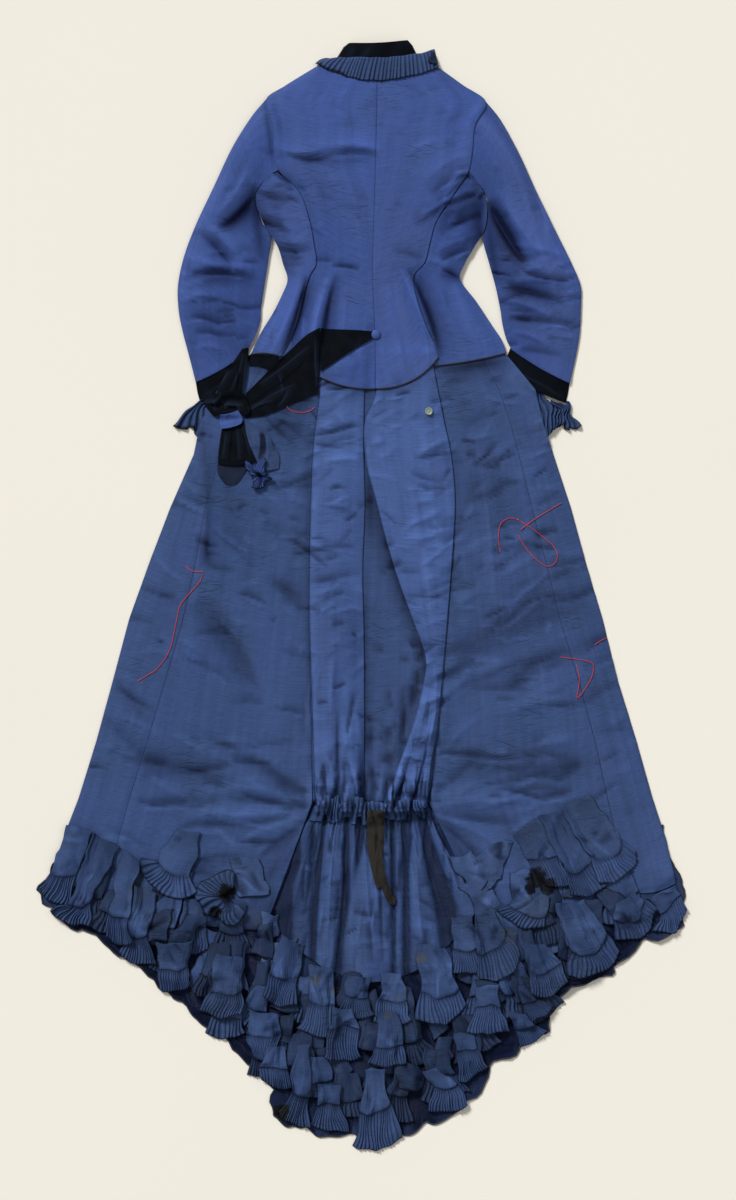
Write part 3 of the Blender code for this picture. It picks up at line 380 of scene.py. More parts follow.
TRAIN_BASE = (
    (-52.6, -41.4, 53.3, -41.0, 0.0),
    (-55.0, -47.6, 55.6, -47.4, 0.0),
    (-58.2, -52.1, 57.3, -52.6, 0.0),
    (-56.9, -55.6, 58.5, -57.0, 0.6),
    (-52.9, -59.0, 57.2, -60.0, 1.2),
    (-47.6, -61.2, 51.6, -61.8, 3.0),
    (-42.4, -65.0, 46.8, -64.8, 3.6),
    (-37.3, -68.5, 44.3, -68.4, 4.0),
    (-34.6, -72.0, 39.4, -69.5, 4.0),
    (-31.2, -74.8, 34.5, -72.5, 4.0),
    (-27.6, -77.8, 33.0, -78.2, 3.4),
    (-23.2, -81.8, 27.4, -81.6, 3.0),
    (-19.2, -85.4, 22.6, -85.4, 3.0),
    (-16.0, -88.9, 20.8, -89.4, 3.0),
    (-16.0, -93.8, 17.0, -92.8, 4.0),
)
SASH_POINT = (
    (1.8, 47.6, 1.8, 46.2, 0.0),
    (-1.0, 47.8, -1.0, 44.6, 0.0),
    (-4.0, 47.9, -4.0, 42.6, 0.0),
    (-7.5, 48.1, -7.5, 40.4, 0.0),
)
SASH_BAND = (
    (-7.6, 48.2, -7.9, 36.3, 0.0),
    (-10.2, 46.8, -10.4, 35.5, 0.0),
    (-12.9, 44.3, -13.0, 34.4, 0.0),
    (-15.6, 41.9, -15.4, 33.3, 0.0),
    (-18.2, 39.2, -17.8, 32.4, 0.0),
    (-21.0, 36.4, -21.0, 32.0, 0.0),
)
SASH_LOOP = (
    (-21.6, 44.5, -20.4, 44.7, 0.0),
    (-23.4, 41.8, -20.6, 41.8, 0.0),
    (-24.9, 39.4, -20.9, 39.4, 0.0),
    (-26.3, 36.4, -21.6, 36.2, 0.0),
)
SASH_KNOT = (
    (-27.8, 36.2, -21.2, 36.2, -0.6),
    (-28.7, 35.1, -20.6, 34.6, 0.0),
    (-27.6, 33.7, -20.5, 33.0, 0.2),
    (-26.4, 32.6, -21.8, 32.4, -0.2),
)
SASH_KEEPER = (
    (-25.5, 32.6, -22.3, 33.4, 0.2),
    (-25.7, 31.2, -21.5, 32.0, 0.2),
    (-25.3, 30.1, -21.7, 31.0, 0.2),
)
SASH_TAIL = (
    (-25.2, 30.6, -21.3, 31.3, 0.0),
    (-25.6, 28.0, -20.8, 28.4, 0.0),
    (-25.9, 25.6, -19.8, 26.0, 0.0),
    (-25.9, 23.8, -19.0, 24.3, 0.5),
)
SASH_FAN = (
    (-21.6, 31.7, -20.6, 31.5, 0.0),
    (-20.9, 29.0, -17.2, 29.3, 0.0),
    (-20.2, 26.8, -15.7, 27.0, 0.0),
    (-19.6, 24.6, -14.9, 25.0, 0.0),
    (-20.4, 22.4, -15.0, 23.0, 0.2),
)
SASH_SIDE = (
    (-20.7, 43.3, -14.8, 42.9, -0.3),
    (-20.4, 42.2, -15.8, 41.6, -0.2),
    (-20.2, 41.4, -17.0, 40.7, -0.3),
)
SASH_END = (
    (-26.0, 24.4, -19.8, 24.4, 0.0),
    (-26.0, 22.2, -21.0, 22.4, 0.0),
    (-25.3, 20.9, -21.9, 21.0, 0.0),
    (-24.6, 20.2, -22.6, 20.2, 0.2),
)
GATHER_TIE = (
    (0.7, -38.4, 3.7, -38.4, 0.0),
    (0.7, -43.0, 3.0, -43.0, 0.0),
    (1.0, -47.0, 2.9, -47.0, 0.0),
    (2.0, -51.0, 3.6, -50.8, 0.0),
    (2.6, -52.4, 3.4, -52.0, 0.0),
)
TIE_END = (
    (2.3, -38.5, 4.1, -38.5, 0.0),
    (2.2, -43.0, 4.0, -43.0, 0.0),
    (2.4, -47.0, 3.7, -47.0, 0.0),
    (3.0, -51.0, 4.4, -50.8, 0.0),
    (4.5, -54.6, 5.9, -54.0, 0.0),
    (5.6, -55.6, 6.2, -55.2, 0.0),
)

# name, root: left x, left y, right x, right y; tip: the same and its bow; frill edge: the same and its bow
TABS = (
    ("tab_right_10", 50.6, -54.2, 56.2, -52.1, 53.4, -57.2, 57.0, -53.8, 0.3, 52.2, -60.4, 58.3, -56.4, 2.0),
    ("tab_right_9", 45.2, -55.2, 49.0, -53.0, 45.2, -58.2, 50.2, -54.6, 2.0, 45.6, -61.8, 53.0, -56.2, 2.2),
    ("tab_right_6", 34.6, -55.2, 39.6, -54.2, 37.2, -63.8, 44.0, -60.8, 1.9, 36.8, -67.9, 46.4, -63.6, 2.4),
    ("tab_right_8", 27.6, -61.2, 33.0, -62.6, 29.7, -67.3, 35.7, -66.0, 0.8, 30.1, -71.3, 37.0, -69.3, 1.2),
    ("tab_right_7", 19.6, -54.4, 23.2, -55.4, 20.2, -63.8, 25.3, -59.8, 2.0, 20.3, -68.4, 28.2, -64.0, 2.2),
    ("tab_right_5", 27.6, -52.6, 33.8, -54.0, 26.2, -55.4, 32.6, -57.2, 0.8, 23.6, -55.6, 32.8, -59.3, 1.4),
    ("tab_right_3", 26.6, -42.6, 31.8, -39.8, 29.6, -47.6, 35.6, -46.2, 0.2, 31.6, -50.8, 37.2, -51.6, 0.8),
    ("tab_right_2", 31.8, -39.4, 35.5, -38.0, 36.2, -48.9, 41.0, -47.6, 1.3, 37.0, -53.7, 43.9, -51.2, 1.6),
    ("tab_right_1", 35.6, -37.8, 41.0, -35.0, 40.8, -46.7, 46.4, -43.5, 2.1, 41.6, -50.8, 49.3, -45.6, 2.7),
    ("tab_train_5", 0.3, -84.9, 4.2, -84.9, -0.3, -93.0, 4.8, -90.6, 1.2, -2.0, -98.5, 7.2, -97.3, 1.9),
    ("tab_train_4", -8.0, -87.6, -4.0, -88.0, -8.6, -91.5, -3.6, -91.2, -0.3, -9.4, -95.0, -2.6, -96.4, 0.6),
    ("tab_train_6", -12.0, -80.5, -9.2, -80.5, -13.0, -89.0, -9.4, -90.0, 0.6, -15.4, -92.6, -9.6, -95.0, 0.8),
    ("tab_train_2", 2.4, -74.5, 6.6, -74.5, 2.7, -80.5, 7.2, -80.4, 0.1, 0.4, -84.1, 8.2, -83.8, 0.5),
    ("tab_train_1", -5.2, -73.5, -1.4, -73.8, -5.8, -77.9, -0.9, -77.8, -0.6, -7.3, -82.8, -0.2, -82.8, 0.8),
    ("tab_train_3", 9.8, -62.5, 15.0, -62.8, 10.3, -71.0, 17.3, -70.5, 1.2, 9.6, -76.0, 18.4, -73.6, 1.9),
    ("tab_train_7", 20.3, -69.8, 24.3, -69.6, 20.0, -74.4, 25.0, -73.4, -0.8, 18.4, -77.8, 26.4, -78.2, 0.3),
    ("tab_left_1", -53.0, -41.2, -48.6, -42.2, -56.0, -49.8, -51.8, -50.2, 0.4, -58.3, -52.3, -53.0, -55.2, 1.3),
    ("tab_left_2", -48.2, -42.6, -43.8, -45.0, -52.8, -55.0, -48.6, -54.8, 0.6, -56.2, -56.4, -49.2, -59.2, 1.2),
    ("tab_left_3", -43.4, -45.6, -40.0, -47.0, -45.4, -57.0, -42.0, -57.2, 0.3, -46.6, -61.4, -41.4, -62.0, 0.8),
    ("tab_left_6", -37.4, -62.0, -30.4, -61.8, -36.8, -67.0, -31.0, -66.4, 0.4, -36.3, -70.4, -31.0, -69.6, 0.9),
    ("tab_left_7", -26.4, -63.8, -21.4, -65.2, -27.4, -71.0, -21.4, -70.6, 0.5, -29.2, -74.5, -21.8, -75.0, 0.7),
    ("tab_left_5", -28.6, -49.6, -23.2, -49.6, -28.0, -52.2, -22.4, -52.6, 0.4, -28.2, -55.6, -21.6, -56.2, 1.8),
    ("tab_left_4", -33.4, -41.4, -28.8, -42.6, -37.0, -47.0, -30.8, -49.6, 1.9, -40.2, -47.2, -29.4, -53.2, 3.4),
)

# y, left x, right x, height
BODY_MOUND = (
    (37.0, -22.0, 28.0, 1.0),
    (46.0, -20.4, 26.2, 1.7),
    (52.0, -15.8, 21.4, 2.0),
    (57.0, -13.7, 17.7, 2.2),
    (60.0, -14.6, 18.6, 2.4),
    (66.0, -17.8, 22.3, 2.7),
    (72.0, -19.6, 22.6, 2.9),
    (77.0, -20.6, 25.6, 2.9),
    (81.0, -22.8, 27.2, 2.8),
    (86.0, -20.4, 24.8, 2.5),
    (90.0, -16.8, 21.4, 2.2),
    (95.0, -8.6, 14.0, 1.6),
    (97.0, -7.0, 12.0, 1.3),
)
SKIRT_MOUND = (
    (-50.0, -57.0, 57.0, 0.9),
    (-36.0, -51.2, 52.2, 1.3),
    (-15.0, -45.0, 46.0, 1.4),
    (6.0, -38.5, 40.3, 1.5),
    (25.0, -30.6, 34.5, 1.5),
    (37.0, -26.6, 31.2, 1.6),
    (50.0, -16.2, 20.6, 1.5),
    (57.0, -11.6, 15.6, 1.3),
)
# the same columns as TABS, for the tabs that only show as small parts of the flounce
SMALL_TABS = (
    ("small_tab_train_1", 16.0, -78.0, 20.0, -78.2, 16.6, -81.8, 20.8, -80.6, 0.3, 17.0, -87.0, 22.4, -84.6, 0.8),
    ("small_tab_train_3", -9.4, -66.0, -5.4, -67.0, -9.8, -72.6, -5.0, -73.0, 0.5, -11.6, -77.6, -4.6, -78.4, 0.8),
    ("small_tab_train_4", -14.6, -60.5, -10.6, -62.6, -16.4, -67.4, -11.6, -68.8, 0.6, -18.0, -71.6, -11.6, -73.4, 1.0),
    ("small_tab_train_5", 3.4, -67.4, 7.4, -67.6, 3.0, -72.4, 7.8, -72.4, 0.4, 1.8, -76.0, 9.0, -76.0, 0.8),
    ("small_tab_train_6", -2.6, -67.8, 1.4, -68.6, -3.2, -71.4, 1.2, -71.8, 0.4, -4.6, -75.0, 2.0, -75.4, 0.8),
    ("small_tab_train_7", 15.6, -57.6, 19.6, -57.0, 16.0, -63.4, 21.0, -62.8, 0.5, 15.6, -67.4, 22.8, -66.4, 0.8),
    ("small_tab_train_2", 10.8, -85.3, 13.4, -84.5, 12.5, -88.0, 17.0, -87.5, 0.4, 12.0, -92.6, 19.2, -91.2, 0.8),
    ("small_tab_right_1", 27.2, -67.5, 29.8, -70.6, 28.8, -73.5, 31.6, -72.2, 0.3, 29.8, -77.0, 34.2, -73.0, 0.6),
    ("small_tab_right_2", 26.3, -74.0, 29.5, -75.0, 27.2, -78.0, 31.5, -77.4, 0.3, 28.5, -80.8, 33.1, -78.0, 0.6),
    ("small_tab_left_1", -20.6, -73.8, -14.8, -75.4, -20.8, -78.4, -15.0, -79.0, 0.6, -19.8, -82.4, -15.4, -82.2, 1.0),
    ("small_tab_left_2", -17.2, -80.5, -13.8, -81.0, -18.8, -84.6, -13.2, -84.6, 0.3, -18.0, -87.2, -12.9, -88.0, 0.8),
    ("small_tab_left_3", -40.8, -51.5, -36.8, -53.5, -42.6, -60.5, -38.4, -61.0, 0.4, -43.6, -64.0, -37.2, -66.4, 0.8),
)
# name, then root, tip and bow as in TABS: flaps that show no frill
FLAPS = (
    ("flap_right_1", 20.0, -46.5, 26.5, -43.5, 20.4, -53.4, 25.5, -50.6, 0.5),
    ("flap_right_3", 15.5, -47.0, 19.5, -45.5, 19.5, -53.5, 23.0, -50.5, 0.5),
    ("flap_right_4", 26.0, -49.5, 30.5, -48.5, 26.5, -56.0, 31.0, -55.0, 0.5),
    ("flap_right_5", 17.5, -52.0, 21.5, -50.5, 21.5, -58.5, 25.5, -56.0, 0.5),
    ("flap_left_5", -23.5, -47.5, -18.5, -46.8, -22.5, -54.0, -17.0, -53.0, 0.6),
    ("flap_right_2", 29.5, -58.5, 35.0, -56.5, 32.5, -64.0, 36.8, -62.8, 0.6),
    ("flap_left_1", -38.2, -54.5, -33.2, -53.8, -38.0, -58.0, -31.8, -59.0, 0.8),
    ("flap_left_2", -28.6, -59.6, -25.6, -60.4, -31.4, -70.6, -28.4, -71.2, 0.2),
    ("flap_left_3", -19.0, -62.0, -12.0, -62.0, -18.4, -67.6, -12.6, -68.4, 1.6),
    ("flap_left_4", -18.5, -56.6, -14.5, -57.0, -18.6, -61.2, -14.8, -61.4, 0.5),
)

# start x, start y, end x, end y, width, height, sideways bow
SKIRT_CREASES = (
    (-27.8, 33.0, -28.6, 6.6, 1.7, 0.45, 0.3),
    (-28.9, 13.2, -19.4, 4.8, 1.0, -0.22, 0.6),
    (-16.3, 2.2, -10.2, -3.3, 1.0, -0.22, 0.4),
    (-31.0, -1.5, -20.8, -16.5, 2.4, -0.40, 1.0),
    (-26.0, 1.0, -14.0, -24.0, 3.2, 0.30, 1.0),
    (-20.0, 22.0, -11.0, 19.0, 1.1, 0.16, 0.5),
    (-18.0, 12.0, -10.5, 8.5, 0.9, -0.14, 0.3),
    (-40.0, -33.0, -26.0, -32.0, 2.2, -0.30, 0.5),
    (-30.0, -36.0, -14.0, -34.5, 2.0, 0.26, 0.5),
    (-24.0, -39.0, -11.0, -38.0, 1.6, -0.22, 0.4),
    (18.0, -13.0, 42.0, -2.0, 2.6, -0.34, 0.8),
    (20.0, -22.0, 40.0, -18.0, 3.2, 0.26, 0.8),
    (20.0, -33.5, 42.0, -32.5, 2.4, -0.28, 0.6),
    (14.0, -37.0, 30.0, -36.0, 1.8, 0.26, 0.4),
    (24.0, 20.0, 34.0, 21.5, 1.8, 0.26, 0.6),
    (19.0, 18.0, 23.0, 21.5, 0.8, -0.16, 0.2),
    (18.5, 30.0, 24.5, 33.0, 1.0, -0.16, 0.3),
    (21.0, 27.0, 23.5, -2.0, 1.4, 0.20, 0.6),
    (-8.9, -38.2, -31.8, -38.8, 0.9, 0.36, 0.6),
    (-8.9, -38.8, -30.0, -41.4, 0.7, -0.30, 0.5),
    (-8.9, -37.0, -26.0, -33.4, 0.7, 0.26, -0.4),
    (-9.0, -37.6, -24.0, -36.0, 0.5, -0.26, 0.2),
    (-9.2, -39.2, -24.0, -45.0, 0.8, 0.30, -0.6),
    (-9.4, -40.0, -19.0, -47.6, 0.7, -0.34, -0.4),
    (-9.0, -35.6, -20.0, -28.0, 0.7, -0.20, 0.4),
    (-10.0, -41.5, -15.5, -49.0, 0.7, 0.30, -0.2),
    (12.4, -38.0, 31.0, -37.0, 0.8, 0.32, 0.5),
    (12.4, -38.8, 29.0, -41.0, 0.7, -0.30, -0.4),
    (12.2, -37.0, 28.0, -32.0, 0.7, 0.24, 0.4),
    (12.6, -39.0, 26.0, -46.0, 0.8, 0.32, 0.6),
    (12.9, -40.0, 22.0, -48.0, 0.7, -0.34, 0.4),
    (12.2, -36.0, 22.0, -28.0, 0.6, -0.20, -0.3),
)
PLEAT_CREASES = (
    (-8.2, 2.2, 0.2, 4.0, 0.7, -0.20, 0.3),
    (-8.5, 26.5, -0.8, 27.3, 0.8, -0.20, 0.3),
    (-8.0, 16.5, -2.0, 14.5, 0.7, -0.14, 0.2),
    (-7.6, -12.0, -3.4, -8.5, 0.8, 0.16, 0.3),
    (-8.5, -24.0, -4.3, -35.5, 0.9, 0.24, 0.4),
    (-3.0, -14.0, -2.0, -35.0, 1.0, 0.24, 0.3),
    (2.5, -18.0, 1.6, -35.5, 0.9, 0.22, 0.2),
    (9.2, 20.0, 12.4, -6.0, 1.2, 0.22, 0.6),
    (7.0, 34.0, 12.0, 26.0, 1.0, 0.20, 0.5),
    (3.0, 30.5, 6.0, 26.0, 0.9, 0.18, 0.4),
    (8.0, -22.0, 6.0, -35.0, 0.9, 0.24, 0.3),
    (11.5, -18.0, 10.2, -35.0, 0.9, 0.22, 0.3),
)
BODICE_CREASES = (
    (-15.4, 80.6, -6.0, 81.0, 0.9, 0.42, -1.4),
    (-13.5, 79.4, -5.0, 79.2, 0.6, -0.40, -1.2),
    (-6.5, 80.6, 4.5, 79.6, 0.7, 0.34, 0.6),
    (-6.0, 79.0, 3.0, 78.9, 0.6, -0.38, 0.5),
    (8.0, 79.0, 14.4, 81.8, 0.3, 0.20, 0.5),
    (11.0, 74.5, 19.0, 79.5, 0.7, 0.22, 0.4),
    (12.0, 72.0, 20.5, 76.0, 0.6, -0.30, 0.4),
    (9.5, 66.2, 20.5, 72.0, 0.8, -0.42, 0.6),
    (10.5, 67.8, 20.0, 73.0, 0.7, 0.34, 0.5),
    (14.0, 64.8, 21.5, 68.6, 0.7, -0.34, 0.3),
    (13.0, 61.6, 21.0, 65.0, 0.7, 0.30, 0.3),
    (5.0, 62.0, 13.0, 59.5, 0.6, -0.20, 0.3),
    (14.0, 60.0, 19.5, 62.2, 0.5, -0.34, 0.3),
    (-18.6, 72.6, -12.4, 71.0, 0.6, -0.34, -0.5),
    (-18.8, 69.8, -13.4, 68.2, 0.6, 0.28, -0.5),
    (-18.4, 67.6, -13.6, 66.4, 0.5, -0.30, -0.4),
    (-16.8, 63.0, -9.0, 62.2, 0.6, -0.32, -0.6),
    (-16.0, 64.4, -10.0, 63.8, 0.5, 0.26, -0.5),
    (-16.0, 75.8, -12.5, 74.2, 0.5, -0.26, -0.3),
    (19.0, 76.5, 15.0, 71.5, 0.6, -0.30, 0.3),
    (-5.6, 59.2, -0.4, 58.5, 0.35, -0.30, 0.2),
    (-8.8, 60.2, -5.2, 60.0, 0.35, -0.18, 0.1),
    (14.2, 58.6, 17.4, 57.2, 0.4, -0.34, 0.1),
    (10.0, 60.5, 15.5, 59.0, 0.5, 0.22, 0.2),
    (-10.0, 57.6, -14.9, 42.9, 0.7, -0.80, 0.5),
    (-11.2, 57.0, -16.6, 43.2, 1.0, 0.44, 0.5),
    (-4.8, 57.6, -7.8, 39.0, 0.7, -0.66, -0.6),
    (-6.2, 57.2, -9.8, 40.6, 1.0, 0.66, -0.4),
    (8.0, 59.0, 13.9, 42.8, 0.8, -0.70, 0.6),
    (6.8, 58.6, 12.2, 41.6, 0.8, 0.60, 0.6),
    (-13.6, 56.5, -18.3, 44.0, 1.1, 0.26, 0.4),
    (16.4, 56.6, 21.8, 43.8, 1.3, 0.26, -0.4),
    (-3.0, 56.0, -4.2, 40.0, 1.6, 0.22, 0.3),
    (4.5, 56.0, 7.5, 40.0, 1.6, 0.22, 0.3),
    (-14.5, 51.6, -18.0, 51.2, 0.4, -0.16, 0.2),
)
# the same columns, with a strength in place of the height: the deepest hollows between folds
BODICE_SHADOWS = (
    (-9.9, 57.0, -14.7, 43.2, 0.9, 0.75, 0.5),
    (-4.7, 57.4, -7.7, 40.0, 0.6, 0.50, -0.6),
    (8.4, 58.6, 14.0, 43.0, 0.8, 0.55, 0.6),
    (-13.0, 78.8, 3.0, 78.8, 0.8, 0.40, -0.8),
    (-20.5, 75.0, -16.0, 63.5, 1.6, 0.60, -0.6),
    (-18.0, 76.0, -12.0, 60.0, 3.2, 0.24, 0.0),
    (20.0, 76.0, 15.0, 60.0, 3.4, 0.26, 0.0),
    (21.0, 74.5, 19.8, 61.0, 1.8, 0.70, 0.6),
    (12.0, 66.0, 21.0, 70.8, 0.9, 0.40, 0.4),
    (-17.5, 62.0, -10.0, 61.0, 1.2, 0.40, -0.5),
    (13.5, 57.8, 18.0, 56.6, 0.8, 0.60, 0.2),
)
SLEEVE_CREASES = (
    (-31.8, 57.4, -18.8, 56.8, 0.7, -0.62, 0.9),
    (-31.0, 58.8, -19.6, 58.2, 0.7, 0.46, 0.8),
    (-29.4, 65.4, -23.2, 58.8, 0.8, -0.50, 0.4),
    (-28.0, 66.6, -22.0, 60.4, 0.7, 0.34, 0.4),
    (-32.4, 61.0, -26.4, 59.0, 0.5, 0.30, 0.3),
    (-31.0, 50.2, -25.4, 48.8, 0.6, -0.34, 0.3),
    (-30.4, 47.4, -24.6, 46.6, 0.5, -0.26, 0.3),
    (-30.0, 44.8, -25.0, 44.2, 0.5, 0.26, 0.3),
    (-32.4, 53.8, -24.0, 53.2, 0.7, 0.34, 0.5),
    (-19.5, 72.0, -26.4, 66.0, 1.0, -0.80, 0.9),
    (-20.4, 76.5, -26.2, 68.6, 1.1, 0.50, 0.5),
    (-24.2, 76.0, -29.6, 65.0, 1.3, 0.30, -0.4),
    (-32.8, 56.0, -30.4, 55.8, 0.25, 0.20, 0.0),
    (-33.0, 54.8, -30.6, 54.4, 0.25, 0.20, 0.0),
    (-32.9, 53.4, -30.6, 52.8, 0.25, 0.20, 0.0),
    (-32.7, 58.0, -30.2, 57.6, 0.25, 0.20, 0.0),
    (22.6, 71.0, 30.0, 59.0, 1.0, -0.90, -0.6),
    (24.2, 73.0, 31.4, 62.0, 1.0, 0.50, -0.5),
    (26.0, 63.0, 38.0, 60.4, 0.7, 0.40, 0.6),
    (28.4, 58.6, 38.4, 57.0, 0.5, -0.54, -0.8),
    (27.2, 56.6, 38.6, 55.6, 0.6, 0.46, 0.6),
    (24.6, 55.6, 36.5, 52.6, 0.7, -0.60, 0.4),
    (24.8, 53.4, 34.0, 50.2, 0.6, 0.42, 0.4),
    (26.0, 49.6, 38.4, 48.2, 0.6, -0.34, 0.5),
    (26.5, 47.5, 34.0, 45.0, 0.6, 0.30, 0.4),
    (28.0, 44.2, 36.0, 43.0, 0.5, -0.22, 0.3),
    (31.0, 77.0, 33.6, 62.0, 1.2, 0.36, 0.5),
    (38.9, 58.8, 36.4, 58.4, 0.25, 0.20, 0.0),
    (39.2, 57.2, 36.6, 56.6, 0.25, 0.20, 0.0),
    (39.3, 55.4, 36.8, 54.6, 0.25, 0.20, 0.0),
    (39.3, 53.4, 36.9, 52.8, 0.25, 0.20, 0.0),
)
TRAIN_CREASES = (
    (-7.0, -52.0, -3.4, -51.6, 0.3, -0.16, 0.1),
    (-8.0, -58.6, -4.0, -57.8, 0.3, -0.16, 0.1),
    (-7.6, -47.0, -4.2, -46.6, 0.25, 0.14, 0.0),
    (-1.8, -57.0, 3.6, -58.0, 0.35, -0.18, 0.2),
    (-2.6, -63.0, 4.4, -62.0, 0.4, 0.2, 0.3),
    (8.6, -54.0, 13.0, -56.5, 0.35, -0.2, 0.3),
    (8.8, -59.0, 13.6, -60.5, 0.4, 0.2, 0.3),
    (1.6, -60.0, 0.2, -40.0, 0.35, 0.3, 0.2),
    (3.8, -66.0, 3.4, -42.0, 0.4, -0.28, 0.2),
    (10.8, -62.0, 9.4, -41.0, 0.35, 0.28, 0.2),
    (17.8, -54.0, 12.4, -41.0, 0.35, 0.26, -0.2),
    (-6.4, -64.0, -4.9, -41.0, 0.3, 0.2, 0.1),
    (-12.4, -56.0, -8.4, -40.5, 0.5, 0.3, 0.3),
    (-10.4, -58.0, -7.4, -41.0, 0.4, -0.3, 0.2),
)
TIE_CREASES = (
    (1.6, -39.0, 2.2, -51.0, 0.22, 0.3, 0.3),
    (2.6, -38.8, 1.8, -50.0, 0.2, -0.3, 0.2),
    (3.3, -39.0, 4.6, -54.0, 0.2, 0.3, -0.6),
    (3.0, -41.0, 3.6, -53.0, 0.2, -0.3, -0.4),
)
# the deepest hollows of the drapery folds: the same columns as BODICE_SHADOWS
PLEAT_SHADOWS = (
    (-4.6, -20.0, -4.5, -37.4, 0.5, 0.70, 0.0),
    (-6.6, 10.0, -6.4, -38.0, 3.2, 0.30, 0.0),
    (-1.4, 0.0, -1.4, -30.0, 1.2, 0.22, 0.0),
    (-0.5, -26.0, -0.5, -37.4, 0.5, 0.60, 0.0),
    (-3.0, 24.0, -1.0, 4.0, 2.4, 0.22, 0.4),
    (-2.4, 4.0, -1.6, -16.0, 2.6, 0.26, 0.3),
    (5.4, 33.0, 13.0, 31.4, 1.2, 0.30, 0.5),
    (9.0, 22.0, 11.0, 8.0, 0.6, 0.35, 0.3),
    (13.8, 30.0, 15.6, 20.0, 1.0, 0.30, 0.3),
)
SASH_CREASES = (
    (-8.6, 46.6, -8.3, 37.4, 0.16, 0.24, 0.0),
    (-9.6, 45.0, -18.6, 38.0, 0.22, 0.24, 0.2),
    (-10.0, 42.4, -20.4, 34.4, 0.35, -0.34, 0.5),
    (-11.8, 38.2, -20.6, 33.4, 0.3, 0.28, -0.3),
    (-13.2, 37.2, -15.2, 34.0, 0.25, 0.26, 0.2),
    (-15.2, 40.2, -14.4, 36.2, 0.2, 0.22, 0.2),
    (-20.2, 33.2, -16.0, 35.0, 0.3, 0.26, 0.3),
    (-21.4, 43.6, -23.8, 36.6, 0.22, 0.28, 0.3),
    (-20.9, 42.4, -21.6, 36.4, 0.16, 0.24, 0.1),
    (-22.4, 42.4, -22.6, 36.6, 0.2, -0.28, 0.2),
    (-24.2, 40.6, -26.6, 36.8, 0.2, 0.28, 0.2),
    (-28.6, 35.0, -25.2, 36.3, 0.25, 0.42, -0.9),
    (-27.8, 34.6, -24.2, 35.2, 0.25, -0.46, -0.9),
    (-26.9, 35.2, -26.6, 33.2, 0.25, 0.36, 0.2),
    (-25.4, 34.8, -21.4, 34.2, 0.3, 0.50, -0.3),
    (-24.6, 33.4, -21.6, 33.6, 0.25, -0.40, 0.2),
    (-24.8, 34.6, -24.4, 33.4, 0.25, 0.40, 0.0),
    (-22.6, 34.6, -22.0, 33.2, 0.22, 0.40, 0.0),
    (-24.6, 29.6, -25.2, 24.6, 0.22, 0.22, 0.1),
    (-22.6, 30.4, -22.2, 24.4, 0.22, 0.22, 0.1),
    (-23.4, 30.0, -23.8, 24.2, 0.3, -0.26, 0.1),
    (-21.6, 30.6, -20.2, 25.0, 0.2, 0.2, 0.1),
    (-18.2, 29.4, -18.6, 24.4, 0.35, -0.40, 0.3),
    (-17.4, 29.0, -17.4, 24.0, 0.3, 0.36, 0.3),
    (-20.0, 29.6, -19.4, 24.6, 0.3, 0.26, 0.2),
)
VELVET_CREASES = (
    (-29.4, 38.2, -20.6, 43.2, 0.16, 0.10, 0.3),
    (-29.0, 35.4, -20.0, 40.8, 0.16, 0.12, 0.3),
    (27.0, 44.2, 37.0, 38.3, 0.16, 0.10, 0.3),
    (25.2, 41.2, 36.4, 35.4, 0.16, 0.12, 0.3),
    (0.6, 99.2, 0.4, 96.4, 0.4, 0.14, 0.1),
    (3.2, 99.2, 3.2, 96.4, 0.3, -0.14, 0.1),
    (-1.8, 99.0, -2.6, 96.8, 0.3, 0.12, 0.1),
)
SLEEVE_SHADOWS = (
    (-18.0, 89.8, -16.2, 77.0, 0.5, 0.60, 0.3),
    (-19.0, 74.0, -25.8, 66.0, 1.5, 0.80, 0.8),
    (-19.4, 70.5, -18.0, 60.0, 1.0, 0.60, 0.0),
    (-29.0, 62.0, -23.0, 40.0, 5.0, 0.24, 0.0),
    (25.0, 66.0, 31.0, 40.0, 4.5, 0.28, 0.0),
    (-30.0, 56.2, -18.8, 56.0, 0.9, 0.50, 0.8),
    (-28.6, 64.0, -23.4, 58.4, 0.9, 0.40, 0.4),
    (22.4, 72.0, 29.4, 58.6, 1.5, 0.85, -0.6),
    (22.0, 70.0, 24.4, 55.0, 1.2, 0.60, 0.0),
    (28.6, 58.0, 38.2, 56.6, 0.7, 0.50, -0.6),
    (25.0, 54.8, 36.0, 52.0, 0.8, 0.50, 0.4),
)
# y, left x, right x, height: folds that run down into the gathers
GATHER_FLUTES = (
    ((-38.0, -8.1, -6.1, 0.8), (-34.0, -8.7, -4.9, 0.8), (-28.0, -9.1, -4.4, 0.5), (-16.0, -9.4, -4.0, 0.0)),
    ((-38.0, -4.2, -1.9, 0.8), (-34.0, -4.2, -0.4, 0.8), (-28.0, -4.0, 0.1, 0.5), (-16.0, -3.8, 0.2, 0.0)),
    ((-38.0, 0.9, 2.3, 0.7), (-34.0, 0.7, 2.9, 0.7), (-28.0, 0.6, 3.6, 0.4), (-17.0, 0.6, 4.6, 0.0)),
    ((-38.0, 3.7, 5.1, 0.8), (-34.0, 4.4, 6.8, 0.7), (-28.0, 6.8, 9.2, 0.5), (-20.0, 9.8, 11.8, 0.0)),
    ((-38.0, 6.6, 8.2, 0.8), (-34.0, 7.2, 9.7, 0.8), (-28.0, 8.6, 11.4, 0.5), (-17.0, 10.6, 13.0, 0.0)),
    ((-38.0, 9.6, 11.4, 0.8), (-34.0, 10.0, 12.2, 0.7), (-28.0, 11.5, 13.1, 0.4), (-18.0, 12.8, 13.9, 0.0)),
)
